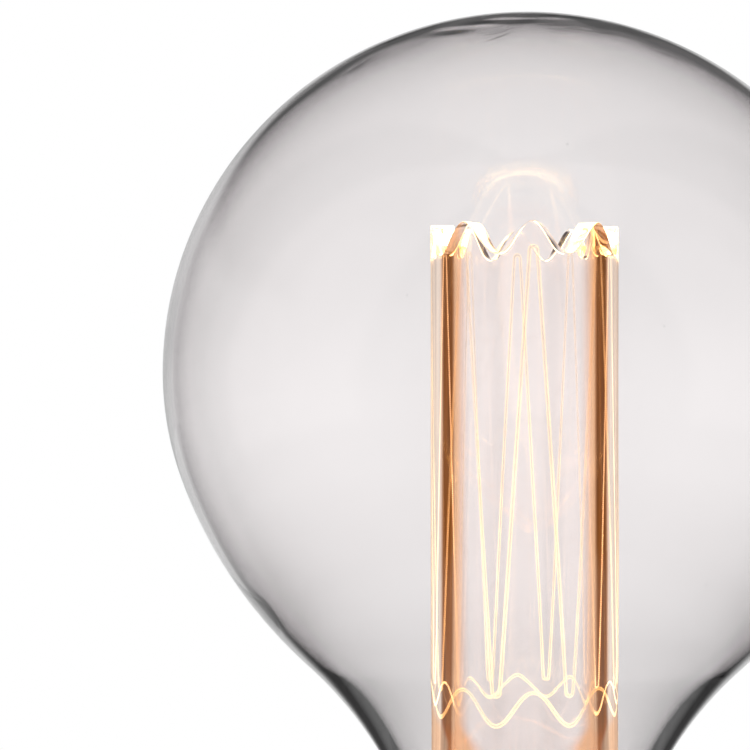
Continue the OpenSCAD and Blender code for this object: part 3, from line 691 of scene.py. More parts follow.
def blown_wall(settings):
    """Wall of the globe, turned round the axis. The inner face lies one wall further in along the
    outline's normal. A ripple is added to the wall, the product of two sines of the turn and of the
    distance from the top along the outline, and round the top a sum of finer sines. It fades out at
    the pole and at the rim. The blemishes are added too, and the rim is a half circle."""
    columns = 224
    wall = settings.wall
    profile, angles, thick = globe_profile(settings)
    side = np.stack([np.sin(angles), np.cos(angles)], axis=-1)
    around = np.arange(columns) * TURN / columns
    run = np.cumsum(np.r_[0, np.hypot(*np.diff(profile, axis=0).T)])[:, None]
    broad = np.sin(3 * around + 31 * run) * np.sin(90 * run + np.cos(2 * around))
    fine = np.zeros((len(run), columns))
    for turns, rise, phase in TOP_RIPPLES:
        fine += np.sin(turns * around + rise * run + phase) / 2.4
    pole, top_reach, rim_fade = 6 * MM, 34 * MM, 10 * MM
    near_top = np.exp(-((run / top_reach) ** 2)) * (1 - np.exp(-((run / pole) ** 2)))
    ripple = settings.ripple * broad + settings.crown_ripple * near_top * fine
    fade = np.clip((run[-1] - run) / rim_fade, 0, 1) * np.clip(run / pole, 0, 1)
    inset = thick[:, None] + ripple * fade + blemishes(around, run, globe_high.x)
    inner_r = profile[:, :1] - inset * side[:, :1]
    inner_z = profile[:, 1:] - inset * side[:, 1:]
    inner_r[0], inner_z[0] = 0.0, profile[0, 1] - wall
    rim = profile[-1] + [-wall / 2, globe_low.z + wall / 2 - profile[-1, 1]]
    rim = rim + wall / 2 * directions(np.radians(np.arange(-30, -151, -30)))
    outer = around_axis(profile[:, 0], profile[:, 1], columns)
    edge = around_axis(rim[:, 0], rim[:, 1], columns)
    inner = around_axis(inner_r, inner_z, columns)[::-1]
    return skin(np.vstack([outer, edge, inner]))


# Light guide


def acrylic(settings):
    """Clear acrylic that carries the lamps' light. Each face adds a faint warm painted glow, stronger
    towards the foot. Where the outer face is seen at a slant, both the glow and what it lets through
    turn orange, a painted glow and a painted shade for the wall's brown bands, and they turn pale at
    the outline, a painted highlight."""
    finish = Finish("Clear acrylic", roughness=0.0, ior=1.49, transmission_weight=1.0,
                    emission_strength=1.0)
    height = finish.axes()[2]
    outside = finish.radius().above(guide_high.x - settings.wall / 2)
    # Below the lower wave the tube carries all the light, and its painted orange glow and shade spread
    # further in
    wave = guide_low.z + settings.wave_foot
    slant = (height.step(wave, wave - 4 * MM) * 0.1 + finish.slant()) * outside
    rim = slant.step(0.5, 0.6)
    # Painted glow: faint face on, orange at a slant, pale at the outline
    tone = rim.mix(slant.step(0.2, 0.32).mix(settings.haze, settings.slant_painted_glow), settings.rim_painted_glow)
    streak = finish.noise(900.0, 2.0, finish.stretched(0.02))
    amount = height.step(guide_high.z, guide_low.z, 0.9, 1.15) * streak.step(0.3, 0.7, 0.75, 1.25)
    scuffed = finish.noise(500.0, 3.0).step(0.5, 0.8)
    clear = scuffed.mix((1.0, 0.985, 0.975), (0.97, 0.945, 0.93))
    # Painted shade at a slant and painted highlight at the outline, in what the tube lets through
    clear = rim.mix(slant.step(0.18, 0.32).mix(clear, settings.slant_painted_shade), settings.rim_tint)
    finish.set(emission_color=tone.scaled(amount), base_color=clear)
    return finish.material


def lit_cut(glow, strength):
    """Cut foot of the tube, where the lamps' light enters it: finely frosted, with saw lines."""
    finish = Finish("Lit foot", roughness=0.55, emission_strength=strength)
    saw = finish.noise(900.0, 3.0, finish.stretched(6.0))
    dim = [channel * 0.62 for channel in glow]
    finish.set(emission_color=saw.step(0.35, 0.65).mix(dim, glow))
    finish.set(base_color=saw.mix((0.9, 0.82, 0.7), (1.0, 0.95, 0.88)))
    finish.bump(saw, 0.03 * MM)
    return finish.material


def engraved_line(settings):
    """Laser-engraved line: half clear, glowing, with a darker gap between one tick and the next, and
    softer towards its edges. It is brighter at a slant and towards the lamps, and brighter still
    where the globe mirrors it, a painted reflection."""
    finish = Finish("Engraved line", roughness=0.6, emission_strength=settings.line_strength,
                    base_color=(1.0, 0.9, 0.75))
    tick = (finish.mark("along") * (TURN / settings.line_pitch)).math("SINE") * 0.5 + 0.5
    slant = finish.slant().step(0.06, 0.4)
    # Painted reflection: the glow is raised only in reflections
    mirrored = finish.path()["Glossy Depth"].above(0.5) * settings.line_mirrored
    amount = tick.step(0.0, 1.0, 0.62, 1.0) * finish.noise(160.0, 2.0).step(0.3, 0.7, 0.75, 1.1)
    amount = amount * slant.step(0.0, 1.0, 1.0, settings.line_slant).larger(mirrored)
    amount = amount * finish.axes()[2].step(guide_high.z, guide_low.z, 0.7, 1.9)
    tone = slant.mix(settings.line_glow, settings.line_slant_glow)
    cover = tick.step(0.0, 1.0, 0.75 * settings.line_cover, 1.25 * settings.line_cover)
    cover = cover * slant.step(0.0, 1.0, 1.0, 1.8)
    across = finish.mark("across")
    finish.set(emission_color=tone.scaled(amount), alpha=cover * (1.0 - across * across * 0.92))
    return finish.material


def crowned_tube(settings):
    """Wall of the tube. Its section is a rectangle with round corners, whose upper side rises and falls
    with the angle as half the wave height times the cosine of the number of waves times the angle.
    Returns the skin, and for each face whether it belongs to the flat foot."""
    columns = settings.waves * 64
    wall, edge = settings.wall, settings.edge_round
    bend = np.radians(np.linspace(0, 90, 5))
    climb = np.linspace(0, 1, 9)[1:-1]
    # A row close to each rounded edge keeps the flat faces' shading flat
    near = 0.04 * MM
    inset = [edge + near, *(edge + (wall - 2 * edge) * f for f in (0.25, 0.5, 0.75)), wall - edge - near]
    # Each row: distance from the outer face, height share of the straight wall, offset from the edge
    low = [(edge - edge * math.sin(b), 0.0, edge - edge * math.cos(b)) for b in bend]
    wall_out = [(0.0, 0.0, edge + near), *((0.0, c, 0.0) for c in climb), (0.0, 1.0, -edge - near)]
    top_out = [(edge - edge * math.cos(b), 1.0, edge * math.sin(b) - edge) for b in bend]
    across = [(i, 1.0, 0.0) for i in inset]
    top_in = [(wall - edge + edge * math.sin(b), 1.0, edge * math.cos(b) - edge) for b in bend]
    wall_in = [(wall, height_share, offset) for _, height_share, offset in wall_out[::-1]]
    low_in = [(wall - edge + edge * math.cos(b), 0.0, edge - edge * math.sin(b)) for b in bend]
    foot = [(i, 0.0, 0.0) for i in inset[::-1]]
    rows = np.array(low + wall_out + top_out + across + top_in + wall_in + low_in + foot)
    turn = np.arange(columns) * TURN / columns
    top = guide_high.z - settings.wave_height / 2 * (1 - np.cos(settings.waves * turn))
    height = guide_low.z + rows[:, 1:2] * (top - guide_low.z) + rows[:, 2:3]
    radius = np.repeat(guide_high.x - rows[:, :1], columns, axis=1)
    grid = around_axis(radius, height, columns, settings.wave_turn)
    row_of_face = np.repeat(np.arange(len(rows)), columns)
    return skin(grid, close_rows=True), (row_of_face >= len(rows) - len(foot) - 1).astype(int)


def groove(path, settings):
    """Filled groove along a path on the unrolled tube, x round the outside and y up. Its section is
    a trapezium just under the surface, half as wide at its floor. The half width swells and shrinks
    with each laser tick as one plus a tenth of the sine of the distance. Returns the skin, and at each
    point the distance along the path and the place across it, from minus one to one."""
    step = settings.line_pitch / 4
    run = np.r_[0, np.cumsum(np.hypot(*np.diff(path, axis=0).T))]
    samples = np.arange(round(run[-1] / step)) * run[-1] / round(run[-1] / step)
    line = np.stack([np.interp(samples, run, path[:, i]) for i in (0, 1)], axis=-1)
    ahead, behind = np.roll(line, -1, axis=0), np.roll(line, 1, axis=0)
    lap = path[-1] - path[0]
    ahead[-1], behind[0] = ahead[-1] + lap, behind[0] - lap
    way = ahead - behind
    way /= np.hypot(*way.T)[:, None]
    beside = np.stack([-way[:, 1], way[:, 0]], axis=-1)
    half = settings.line_width / 2 * (1 + 0.1 * np.sin(TURN * samples / settings.line_pitch))
    # Share of the half width, and depth under the tube's face
    level, deep = 0.03 * MM, settings.line_depth
    section = [(-1.0, level), (0.0, level), (1.0, level), (0.5, deep), (0.0, deep), (-0.5, deep)]
    rows = []
    for sideways, depth in section:
        place = line + beside * (sideways * half)[:, None]
        flat = directions(place[:, 0] / guide_high.x + settings.wave_turn) * (guide_high.x - depth)
        rows.append(np.column_stack([flat, place[:, 1]]))
    marks = {
        "along": np.tile(samples, len(section)),
        "across": np.repeat([sideways for sideways, _ in section], len(samples)),
    }
    return skin(np.array(rows), close_rows=True), marks


def zigzag_path(settings):
    """One hairpin to each wave, on the unrolled tube: straight legs between small half turns, the upper
    ones at the peaks and the lower ones at the troughs."""
    half = guide_high.x * math.pi / settings.waves
    turn = settings.loop_radius
    top = guide_high.z - settings.zigzag_drop - turn
    low = guide_low.z + settings.zigzag_foot + turn
    bend = np.linspace(0, math.pi, 25)
    rise = [0.0, top] + turn * directions(math.pi - bend)
    dip = [half, low] - turn * directions(bend)
    laps = np.arange(settings.waves)[:, None, None] * np.array([2 * half, 0.0])
    path = (np.vstack([rise, dip]) + laps).reshape(-1, 2)
    return np.vstack([path, path[0] + [2 * half * settings.waves, 0.0]])


def lower_wave_path(settings):
    """Wave round the tube, in step with the crown, on the unrolled tube."""
    turn = np.linspace(0, TURN, 720)
    wave = settings.wave_height / 2 * (1 + np.cos(settings.waves * turn))
    height = guide_low.z + settings.wave_foot + wave
    return np.stack([guide_high.x * turn, height], axis=-1)


# Lamps


def phosphor(settings):
    """Lit phosphor: yellow grains in clear silicone."""
    finish = Finish("Lit phosphor", roughness=0.35, emission_strength=settings.strength)
    grain = finish.noise(2500.0, 2.0)
    dim = [channel * 0.7 for channel in settings.glow]
    finish.set(emission_color=grain.step(0.3, 0.7).mix(dim, settings.glow))
    finish.set(base_color=grain.mix((0.9, 0.62, 0.15), (1.0, 0.78, 0.3)))
    finish.bump(grain, 0.02 * MM)
    return finish.material


def phosphor_domes(settings):
    """A low pillow in each lamp's recess. Its outline is a superellipse of exponent four, whose points
    lie at the half sides times the square roots of the cosine and the sine. Its height falls with the
    fourth power of the share of the way from the middle to the outline. The underside is flat."""
    wide = settings.recess / 2 * settings.width - PLAY
    long = settings.recess / 2 * settings.length - PLAY
    low = chips_high.z - settings.recess_depth + PLAY / 2
    rings_up = 7
    share_out = np.r_[np.linspace(0, 1, rings_up), np.linspace(1, 0, 3)][:, None]
    upper = np.arange(len(share_out))[:, None] < rings_up
    turn = np.linspace(0, TURN, 32, endpoint=False)
    x = share_out * wide * np.sign(np.cos(turn)) * np.sqrt(np.abs(np.cos(turn)))
    y = share_out * long * np.sign(np.sin(turn)) * np.sqrt(np.abs(np.sin(turn)))
    rise = (chips_high.z + settings.dome - low - PLAY) * (1 - share_out ** 4) + PLAY
    z = low + np.where(upper, rise, 0.0) + 0 * x
    out = x + chips_high.x - settings.width / 2
    parts = []
    for spin in np.arange(settings.lamps) * TURN / settings.lamps:
        placed = [out * math.cos(spin) - y * math.sin(spin), out * math.sin(spin) + y * math.cos(spin), z]
        parts.append(skin(np.stack(placed, axis=-1)))
    return joined(parts)


# Edges of the board's copper rings and of its bare rim, as distances from the axis, and the width over
# which the mask steps up to them
OUTER_COPPER = (15.85 * MM, 17.15 * MM)
INNER_COPPER = (7.1 * MM, 12.5 * MM)
BARE_RIM = 17.55 * MM
MASK_STEP = 0.05 * MM


def lamp_board_finish(lamps):
    """White solder mask over an aluminium board: rings of copper show as faint raised bands, the outer
    one broken between the lamps, and the mask is worn off round the edge."""
    finish = Finish("White solder mask", coat_weight=0.3)
    x, y, _ = finish.axes()
    radius = finish.radius()
    gap = (y.math("ARCTAN2", x) * float(lamps)).math("COSINE").step(-0.86, -0.8)
    outer, inner = (
        radius.step(low, low + MASK_STEP) * radius.step(high, high - MASK_STEP)
        for low, high in (OUTER_COPPER, INNER_COPPER)
    )
    copper = (outer * gap).larger(inner)
    parts = finish.worked((0.9, 0.9, 0.88), (0.8, 0.8, 0.77), 0.4, 0.12, 1500.0, 90.0, 0.4)
    over = (copper * 0.5).mix(parts["Colour"], (0.88, 0.85, 0.74))
    bare = radius.step(BARE_RIM, BARE_RIM + MASK_STEP)
    finish.set(base_color=bare.mix(over, (0.6, 0.6, 0.6)), roughness=parts["Roughness"], metallic=bare)
    finish.bump(copper + parts["Height"] * 0.2, 0.04 * MM)
    return finish.material


# Collar and screw cap


def spun_collar(settings):
    """Wall of the collar, turned round the axis: a quarter circle for the round underside, a straight
    side that leans out to the rim, a half circle over the rim, and the same lines one wall further in."""
    wall, bowl = settings.wall, settings.bowl_radius
    middle = np.array([settings.neck_radius + settings.cement_wall + wall - bowl, collar_low.z + bowl])
    way = directions(np.linspace(-math.pi / 2, 0, 19))
    rim_middle = np.array([collar_high.x - wall / 2, collar_high.z - wall / 2])
    rim = rim_middle + wall / 2 * directions(np.linspace(0, math.pi, 13))
    hole, low, corner = settings.hole_radius, collar_low.z, 0.1 * MM
    lip = np.array([[hole, low + wall], [hole, low + corner], [hole + corner, low]])
    side = np.linspace(0, 1, 8)[1:-1, None]
    outer = middle + bowl * way
    inner = middle + (bowl - wall) * way
    profile = np.vstack([
        lip, outer, outer[-1] + side * (rim[0] - outer[-1]), rim,
        rim[-1] + side * (inner[-1] - rim[-1]), inner[::-1],
    ])
    return skin(around_axis(profile[:, 0], profile[:, 1], 256), close_rows=True)


def rolled_shell(settings):
    """Threaded sheet. In the thread the outer radius is the crest's radius less the depth times one
    minus a raised cosine of the height in turns less the angle, and both the depth and the cosine fade
    out over half a turn at the ends. The lip and the top edge are arcs and straight lines, and the
    inner side lies one sheet further in. Punch marks press the skirt in by a bell curve."""
    columns = 192
    turn = np.arange(columns) * TURN / columns
    crest_radius, sheet = shell_high.x, settings.sheet
    root = crest_radius - settings.depth
    thread_low = shell_low.z + settings.lip_rise
    thread_high = shell_high.z - settings.skirt
    fade = settings.pitch / 2
    corner = 0.6 * (root - settings.lip_radius)
    bend = np.linspace(0, math.pi / 2, 9)
    z_thread = np.linspace(thread_low, thread_high, 105)
    crest = (1 + np.cos(TURN * z_thread[:, None] / settings.pitch - turn)) / 2
    deep = np.clip((thread_high - z_thread) / fade, 0, 1)[:, None]
    rise = np.clip((z_thread - thread_low) / fade, 0, 1)[:, None]
    wall = crest_radius - settings.depth * deep * (1 - crest * rise)
    z_skirt = np.linspace(thread_high, shell_high.z - 0.1 * MM, 22)[1:]
    nearest = np.round(turn * settings.punches / TURN) * TURN / settings.punches
    across = crest_radius * (turn - nearest)
    away = np.hypot(across, z_skirt[:, None] - (shell_high.z - settings.punch_drop))
    skirt = crest_radius - settings.punch_depth * np.exp(-((away / settings.punch_radius) ** 2))

    def level(values):
        return np.repeat(np.asarray(values, float)[:, None], columns, axis=1)

    def side(inset):
        arc_r = root - corner + (corner - inset) * np.sin(bend)
        arc_z = shell_low.z + corner - (corner - inset) * np.cos(bend)
        radius = np.vstack([level([settings.lip_radius]), level(arc_r), wall - inset, skirt - inset])
        return radius, np.r_[shell_low.z + inset, arc_z, z_thread, z_skirt]

    outer_r, outer_z = side(0.0)
    inner_r, inner_z = side(sheet)
    radius = np.vstack([outer_r, level([crest_radius - sheet / 2]), inner_r[::-1]])
    height = np.r_[outer_z, shell_high.z, inner_z[::-1]]
    return skin(around_axis(radius, height, columns), close_rows=True)


# Finishes of the small parts


def solder_finish():
    """Tin solder, frozen in a dull skin with bright streaks."""
    known = bpy.data.materials.get("Tin solder")
    return known or metal_finish("Tin solder", (0.62, 0.62, 0.63), (0.42, 0.42, 0.42), 0.4, spread=0.3,
                                 patch=900.0, grain=2500.0, depth=0.08 * MM)


def moulded_white():
    """White plastic with the mould's fine spark-eroded grain."""
    known = bpy.data.materials.get("Moulded white")
    return known or plain_finish("Moulded white", (0.84, 0.84, 0.81), (0.78, 0.77, 0.72), 0.5,
                                 grain=2600.0, depth=0.03 * MM, subsurface_weight=0.1,
                                 subsurface_scale=2 * MM)


def circuit_board(green):
    """Green mask over copper tracks: the tracks are the wide cells of a brick pattern, lighter and
    raised, with round spots of bare tin."""
    finish = Finish("Circuit board", coat_weight=0.4)
    flat = finish.add("Mapping", {"Vector": finish.place, "Rotation": (math.pi / 2, 0.0, 0.0)})
    cells = {"Vector": flat, "Scale": 1.0, "Brick Width": 6.2 * MM, "Row Height": 2.1 * MM}
    gap = finish.add("TexBrick", {**cells, "Mortar Size": 0.25 * MM}, "Fac")
    track = 1.0 - gap
    tin = finish.specks(330.0, flat).step(0.17, 0.14)
    dark, light = ([channel * factor for channel in green] for factor in (0.7, 1.8))
    parts = finish.worked(green, dark, 0.35, 0.1, 4000.0, 200.0)
    mask = (track * 0.5).mix(parts["Colour"], light)
    finish.set(base_color=tin.mix(mask, (0.66, 0.66, 0.64)), roughness=parts["Roughness"], metallic=tin)
    finish.bump(track + tin * 0.6, 0.04 * MM)
    return finish.material


def shrunk_sleeve():
    """Dark shrunk sleeve with a pale stripe down its back, open over the bare can top."""
    finish = Finish("Shrunk sleeve", coat_weight=0.4)
    low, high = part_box("smoothing_capacitor")
    x, y, z = finish.axes()
    stripe = abs(x).step(1.6 * MM, 1.5 * MM) * y.step(low.y + 3 * MM, low.y + 2.8 * MM)
    bare = z.step(high.z - 0.4 * MM, high.z - 0.2 * MM)
    parts = finish.worked((0.02, 0.022, 0.05), (0.03, 0.033, 0.07), 0.3, 0.12, 1800.0, 250.0, 0.6)
    sleeve = stripe.mix(parts["Colour"], (0.45, 0.46, 0.5))
    finish.set(base_color=bare.mix(sleeve, (0.7, 0.7, 0.7)), roughness=parts["Roughness"], metallic=bare)
    finish.bump(parts["Height"], 0.03 * MM)
    return finish.material


def wound_copper():
    """Enamelled copper wire, laid turn beside turn: round ridges along the winding's axis, with painted
    shade in the grooves between turns.
    """
    finish = Finish("Wound copper", metallic=1.0, coat_weight=0.8)
    wire, lean = 0.2 * MM, 0.02
    x, y, _ = finish.axes()
    ridge = abs(((y + x * lean) * (math.pi / wire)).math("SINE"))
    parts = finish.worked((0.62, 0.24, 0.09), (0.4, 0.12, 0.04), 0.3, 0.1, 5000.0, 500.0, 0.6)
    # Painted shade: the grooves between turns are darkened
    between = ridge.step(0.4, 0.05)
    finish.set(base_color=between.mix(parts["Colour"], (0.08, 0.02, 0.01)), roughness=parts["Roughness"])
    finish.bump(ridge, 0.1 * MM)
    return finish.material


# Rings round the lacquered barrel: place along it in millimetres, and colour
BANDS = (
    (-1.9, (0.02, 0.02, 0.02)),
    (-0.9, (0.12, 0.045, 0.02)),
    (0.1, (0.4, 0.3, 0.05)),
    (1.8, (0.4, 0.28, 0.1)),
)


def banded_lacquer():
    """Green lacquered barrel with four rings of colour, and tinned legs."""
    finish = Finish("Banded lacquer", coat_weight=0.5)
    low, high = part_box("fuse_resistor")
    along = finish.axes()[0] - (low.x + high.x) / 2
    parts = finish.worked((0.2, 0.42, 0.26), (0.16, 0.34, 0.2), 0.25, 0.1, 4000.0, 600.0)
    shade = parts["Colour"]
    for middle, tone in BANDS:
        shade = abs(along - middle * MM).step(0.26 * MM, 0.22 * MM).mix(shade, tone)
    leg = abs(along).step(3.02 * MM, 3.06 * MM)
    finish.set(base_color=leg.mix(shade, (0.6, 0.6, 0.6)), roughness=parts["Roughness"], metallic=leg)
    finish.bump(parts["Height"], 0.03 * MM)
    return finish.material


# Stage

# Soft panels behind the camera, by the way they lie
PANELS = ((-0.76, -0.59, 0.28), (0.8, -0.56, 0.22), (0.0, -0.6, 0.8))


def path_level(path, straight, wall, card):
    """How bright the white room is for a ray that has met the bulb's clear parts, by how it met them.
    Light that only passed through, that was reflected by the globe's wall, that was led along inside
    it, or that was turned round in the tube's wall has its own level each."""
    turns, crossings = path["Glossy Depth"], path["Transmission Depth"]
    in_tube = card * turns.below(1.5) * 0.8 + 0.01
    # Light led a long way through the globe's wall has come from the dark neck, so the room gives it a dark
    # level, a painted shade
    level = turns.above(1.5).blend(wall, 0.05)
    level = crossings.above(3.5).blend(level, wall * 0.5)
    level = crossings.above(4.5).blend(level, in_tube)
    return turns.above(0.5).blend(straight, level)


def white_cards(x, y):
    """One where a direction or place lies on one of four wide cards round the bulb, by its turn."""
    return (y.math("ARCTAN2", x) * 4.0).math("COSINE").step(-0.78, -0.22)


def room_light(ahead, outside):
    """Level of the room as the bulb reflects it: the white backdrop behind the bulb, dimmer sides and
    the dark side where the camera stands, by how far ahead of the camera a direction points. Outer
    faces, the metal ones too, see lighter sides."""
    sides = outside.blend(ahead.step(0.0, 0.5, 0.02, 0.24), ahead.step(-0.97, -0.7, 0.1, 0.48))
    return sides.larger(ahead.step(0.76, 0.84, 0.0, 0.72))


def seen_rays(path):
    """One for rays that show the room to the camera, directly or by glass and metal, else nothing."""
    plain = path["Is Camera Ray"] + path["Is Glossy Ray"]
    seen = plain.math("ADD", path["Is Transmission Ray"], clamp=True)
    return seen * path["Diffuse Depth"].below(0.5)


def make_room(settings):
    """White backdrop for the camera, glass and metal, and an even ambient light for the rest. The
    backdrop ends above and below, and the room past it is dim. Soft panels behind the camera show in
    plain reflections alone."""
    world = bpy.data.worlds.new("White room")
    bpy.context.scene.world = world
    world.use_nodes = True
    nodes = Nodes(world.node_tree, "Generated")
    x, y, z = nodes.axes()
    path = nodes.path()
    outside = path["Transmission Depth"].below(0.5)
    high = z.step(0.24, 0.35, 1.0, 0.16) * z.step(-0.01, 0.05, 1.0, 0.93)
    wall = room_light(y, outside) * (high * z.step(-0.13, -0.21, 1.0, 0.06))
    straight = high * z.step(-0.03, -0.16, 1.0, 0.85)
    level = path_level(path, straight, wall, white_cards(x, y) * high)
    plain = outside * path["Glossy Depth"].above(0.5)
    for panel in PANELS:
        level = level.larger(nodes.place.along(panel).step(0.86, 0.95, 0.0, 0.5) * plain)
    strength = seen_rays(path).blend(settings.ambient, level.larger(path["Is Camera Ray"]))
    nodes.feed(world.node_tree.nodes["Background"], {"Color": WHITE, "Strength": strength})


def floor_finish(settings):
    """Pale floor that shows the bulb's shadow near it and turns into the plain white backdrop further
    out, for the rays that show it to the camera. Through the clear parts it shows a little darker near
    the bulb, a painted shade. In plain reflections it shows a painted dark ring, which the globe's outer
    face mirrors, and the cap mirrors the painted pale floor inside that ring."""
    finish = Finish("Pale floor", roughness=0.85)
    x, y, _ = finish.axes()
    radius = finish.radius()
    path = finish.path()
    outside = path["Transmission Depth"].below(0.5)
    # Painted shade: the near floor shows darker through the clear parts
    straight = radius.step(0.06, 0.36, settings.floor_dim, 1.0) * radius.step(0.3, 1.2, 0.86, 0.97)
    room = room_light(y / radius, outside)
    wall = room * radius.step(0.2, 0.42, 0.1, 0.95)
    # Painted dark ring and pale inner floor, seen only in plain reflections
    plain = (room * radius.step(0.135, 0.225, 0.06, 1.2)).larger(radius.step(0.12, 0.08, 0.0, 0.6))
    level = outside.blend(path_level(path, straight, wall, white_cards(x, y)), plain)
    level = level.larger(path["Is Camera Ray"])
    far = radius.step(settings.shade_radius, settings.clear_radius)
    finish.set(base_color=finish.noise(300.0, 3.0).mix((0.9, 0.9, 0.9), (0.94, 0.94, 0.94)))
    white = finish.add("Emission", {"Color": WHITE, "Strength": level})
    finish.cover(far.larger(1.0 - path["Is Camera Ray"]) * seen_rays(path), white)
    finish.material.cycles.emission_sampling = "NONE"
    return finish.material


def make_floor(settings):
    """Round floor just under the contact, a flat disc of rings."""
    rings, below = 24, -0.2 * MM
    radius = np.r_[0.0, np.geomspace(20 * MM, settings.floor_radius, rings)]
    points, quads = skin(around_axis(radius, np.full(len(radius), below), 96))
    mesh = new_mesh("floor", points, quads[:, ::-1])
    mesh.materials.append(floor_finish(settings))
    floor = new_object("floor", mesh)


def make_lamp(name, power, size, place):
    """Soft square lamp that lights the bulb and is not itself reflected in the glass."""
    lamp = bpy.data.lights.new(name, "AREA")
    lamp.energy, lamp.size = power, size
    made = new_object(name, lamp)
    made.location = place
    middle = Vector((0.0, 0.0, cad_high.z / 2))
    made.rotation_euler = (middle - Vector(place)).to_track_quat("-Z", "Y").to_euler()
    made.visible_camera = made.visible_glossy = made.visible_transmission = False


def make_camera(settings):
    camera = bpy.data.cameras.new("camera")
    camera.lens, camera.sensor_width = settings.lens, 36.0
    made = new_object("camera", camera)
    made.location = (0.0, -settings.distance, settings.height)
    made.rotation_euler = (math.pi / 2 + settings.tilt, 0.0, settings.turn)
    bpy.context.scene.camera = made


# Operators


class MakeStage(Operator):
    """Camera, white room, floor and soft lamps"""

    bl_idname = "bulb.make_stage"
    bl_label = "Make the stage"

    def execute(self, context):
        settings = context.scene.bulb_stage
        context.scene.view_settings.view_transform = "Standard"
        # Light passes many clear walls one behind the other
        cycles = context.scene.cycles
        cycles.max_bounces = 64
        cycles.transmission_bounces = 40
        cycles.glossy_bounces = 40
        cycles.transparent_max_bounces = 32
        make_camera(settings)
        make_room(settings)
        make_floor(settings)
        make_lamp("key lamp", settings.key_power, 0.7, (-0.8, -0.8, 0.9))
        make_lamp("fill lamp", settings.fill_power, 0.9, (1.0, -0.5, 0.6))
        return {"FINISHED"}


class MakeGlobe(Operator):
    """Blown glass globe"""

    bl_idname = "bulb.make_globe"
    bl_label = "Make the glass globe"

    def execute(self, context):
        settings = context.scene.bulb_globe
        piece("blown_globe", blown_wall(settings), [clear_glass(settings)], ["glass_globe"])
        return {"FINISHED"}


class MakeGuide(Operator):
    """Clear tube with its cut crown and engraved lines"""

    bl_idname = "bulb.make_guide"
    bl_label = "Make the light guide"

    def execute(self, context):
        settings = context.scene.bulb_guide
        shape, kinds = crowned_tube(settings)
        finishes = [acrylic(settings), lit_cut(settings.foot_glow, settings.foot_strength)]
        piece("crowned_tube", shape, finishes, ["light_guide"], kinds=kinds)
        line = engraved_line(settings)
        for name, path in (("engraved_zigzag", zigzag_path), ("engraved_wave", lower_wave_path)):
            shape, marks = groove(path(settings), settings)
            piece(name, shape, [line], marks=marks)
        return {"FINISHED"}


class MakeLamps(Operator):
    """Lamp ring on its board, with the solder and the soft pad"""

    bl_idname = "bulb.make_lamps"
    bl_label = "Make the lamp ring"

    def execute(self, context):
        settings = context.scene.bulb_lamps
        piece("phosphor_domes", phosphor_domes(settings), [phosphor(settings)])
        # Painted glow: the lamp frame is no lamp, and its emission stands for the phosphor's light in it
        lit_frame = plain_finish("Lamp frame", (0.9, 0.86, 0.78), (0.8, 0.74, 0.62), 0.45, grain=3000.0,
                                 depth=0.01 * MM, emission_color=(1.0, 0.72, 0.4), emission_strength=0.35)
        rubber = plain_finish("Soft filled rubber", (0.3, 0.32, 0.38), (0.36, 0.38, 0.43), 0.75,
                              grain=4000.0)
        dress(lit_frame, "lamp_chips")
        dress(lamp_board_finish(settings.lamps), "lamp_board")
        dress(solder_finish(), "lead_solder")
        dress(rubber, "thermal_pad")
        return {"FINISHED"}


class MakeHub(Operator):
    """Hub that grips the tube, with its screws"""

    bl_idname = "bulb.make_hub"
    bl_label = "Finish the hub and screws"

    def execute(self, context):
        zinc = metal_finish("Zinc-plated steel", (0.62, 0.62, 0.63), (0.5, 0.5, 0.46), 0.32, patch=500.0,
                            grain=6000.0, worn=(0.8, 0.8, 0.8))
        dress(moulded_white(), "guide_hub")
        dress(zinc, "hub_screws")
        return {"FINISHED"}


class MakeCollar(Operator):
    """Spun collar, cement and heat sink"""

    bl_idname = "bulb.make_collar"
    bl_label = "Make the collar"

    def execute(self, context):
        settings = context.scene.bulb_collar
        low = [channel * 0.8 for channel in settings.metal]
        satin = metal_finish("Spun satin metal", settings.metal, low, 0.34, spacing=0.42 * MM,
                             depth=0.006 * MM, patch=45.0, patch_share=0.35, worn=(0.86, 0.85, 0.82))
        turned = metal_finish("Turned aluminium", (0.72, 0.73, 0.74), (0.58, 0.59, 0.6), 0.28,
                              spacing=0.25 * MM)
        # Partly painted shade: the cement is made near black, and the flare's inner face shows it as a dark
        # wedge
        cement = plain_finish("Dark basing cement", (0.02, 0.014, 0.011), (0.16, 0.13, 0.11), 0.8,
                              grain=1500.0, depth=0.08 * MM, patch=1400.0)
        piece("spun_collar", spun_collar(settings), [satin], ["collar"])
        dress(turned, "heat_sink")
        dress(cement, "neck_cement")
        return {"FINISHED"}


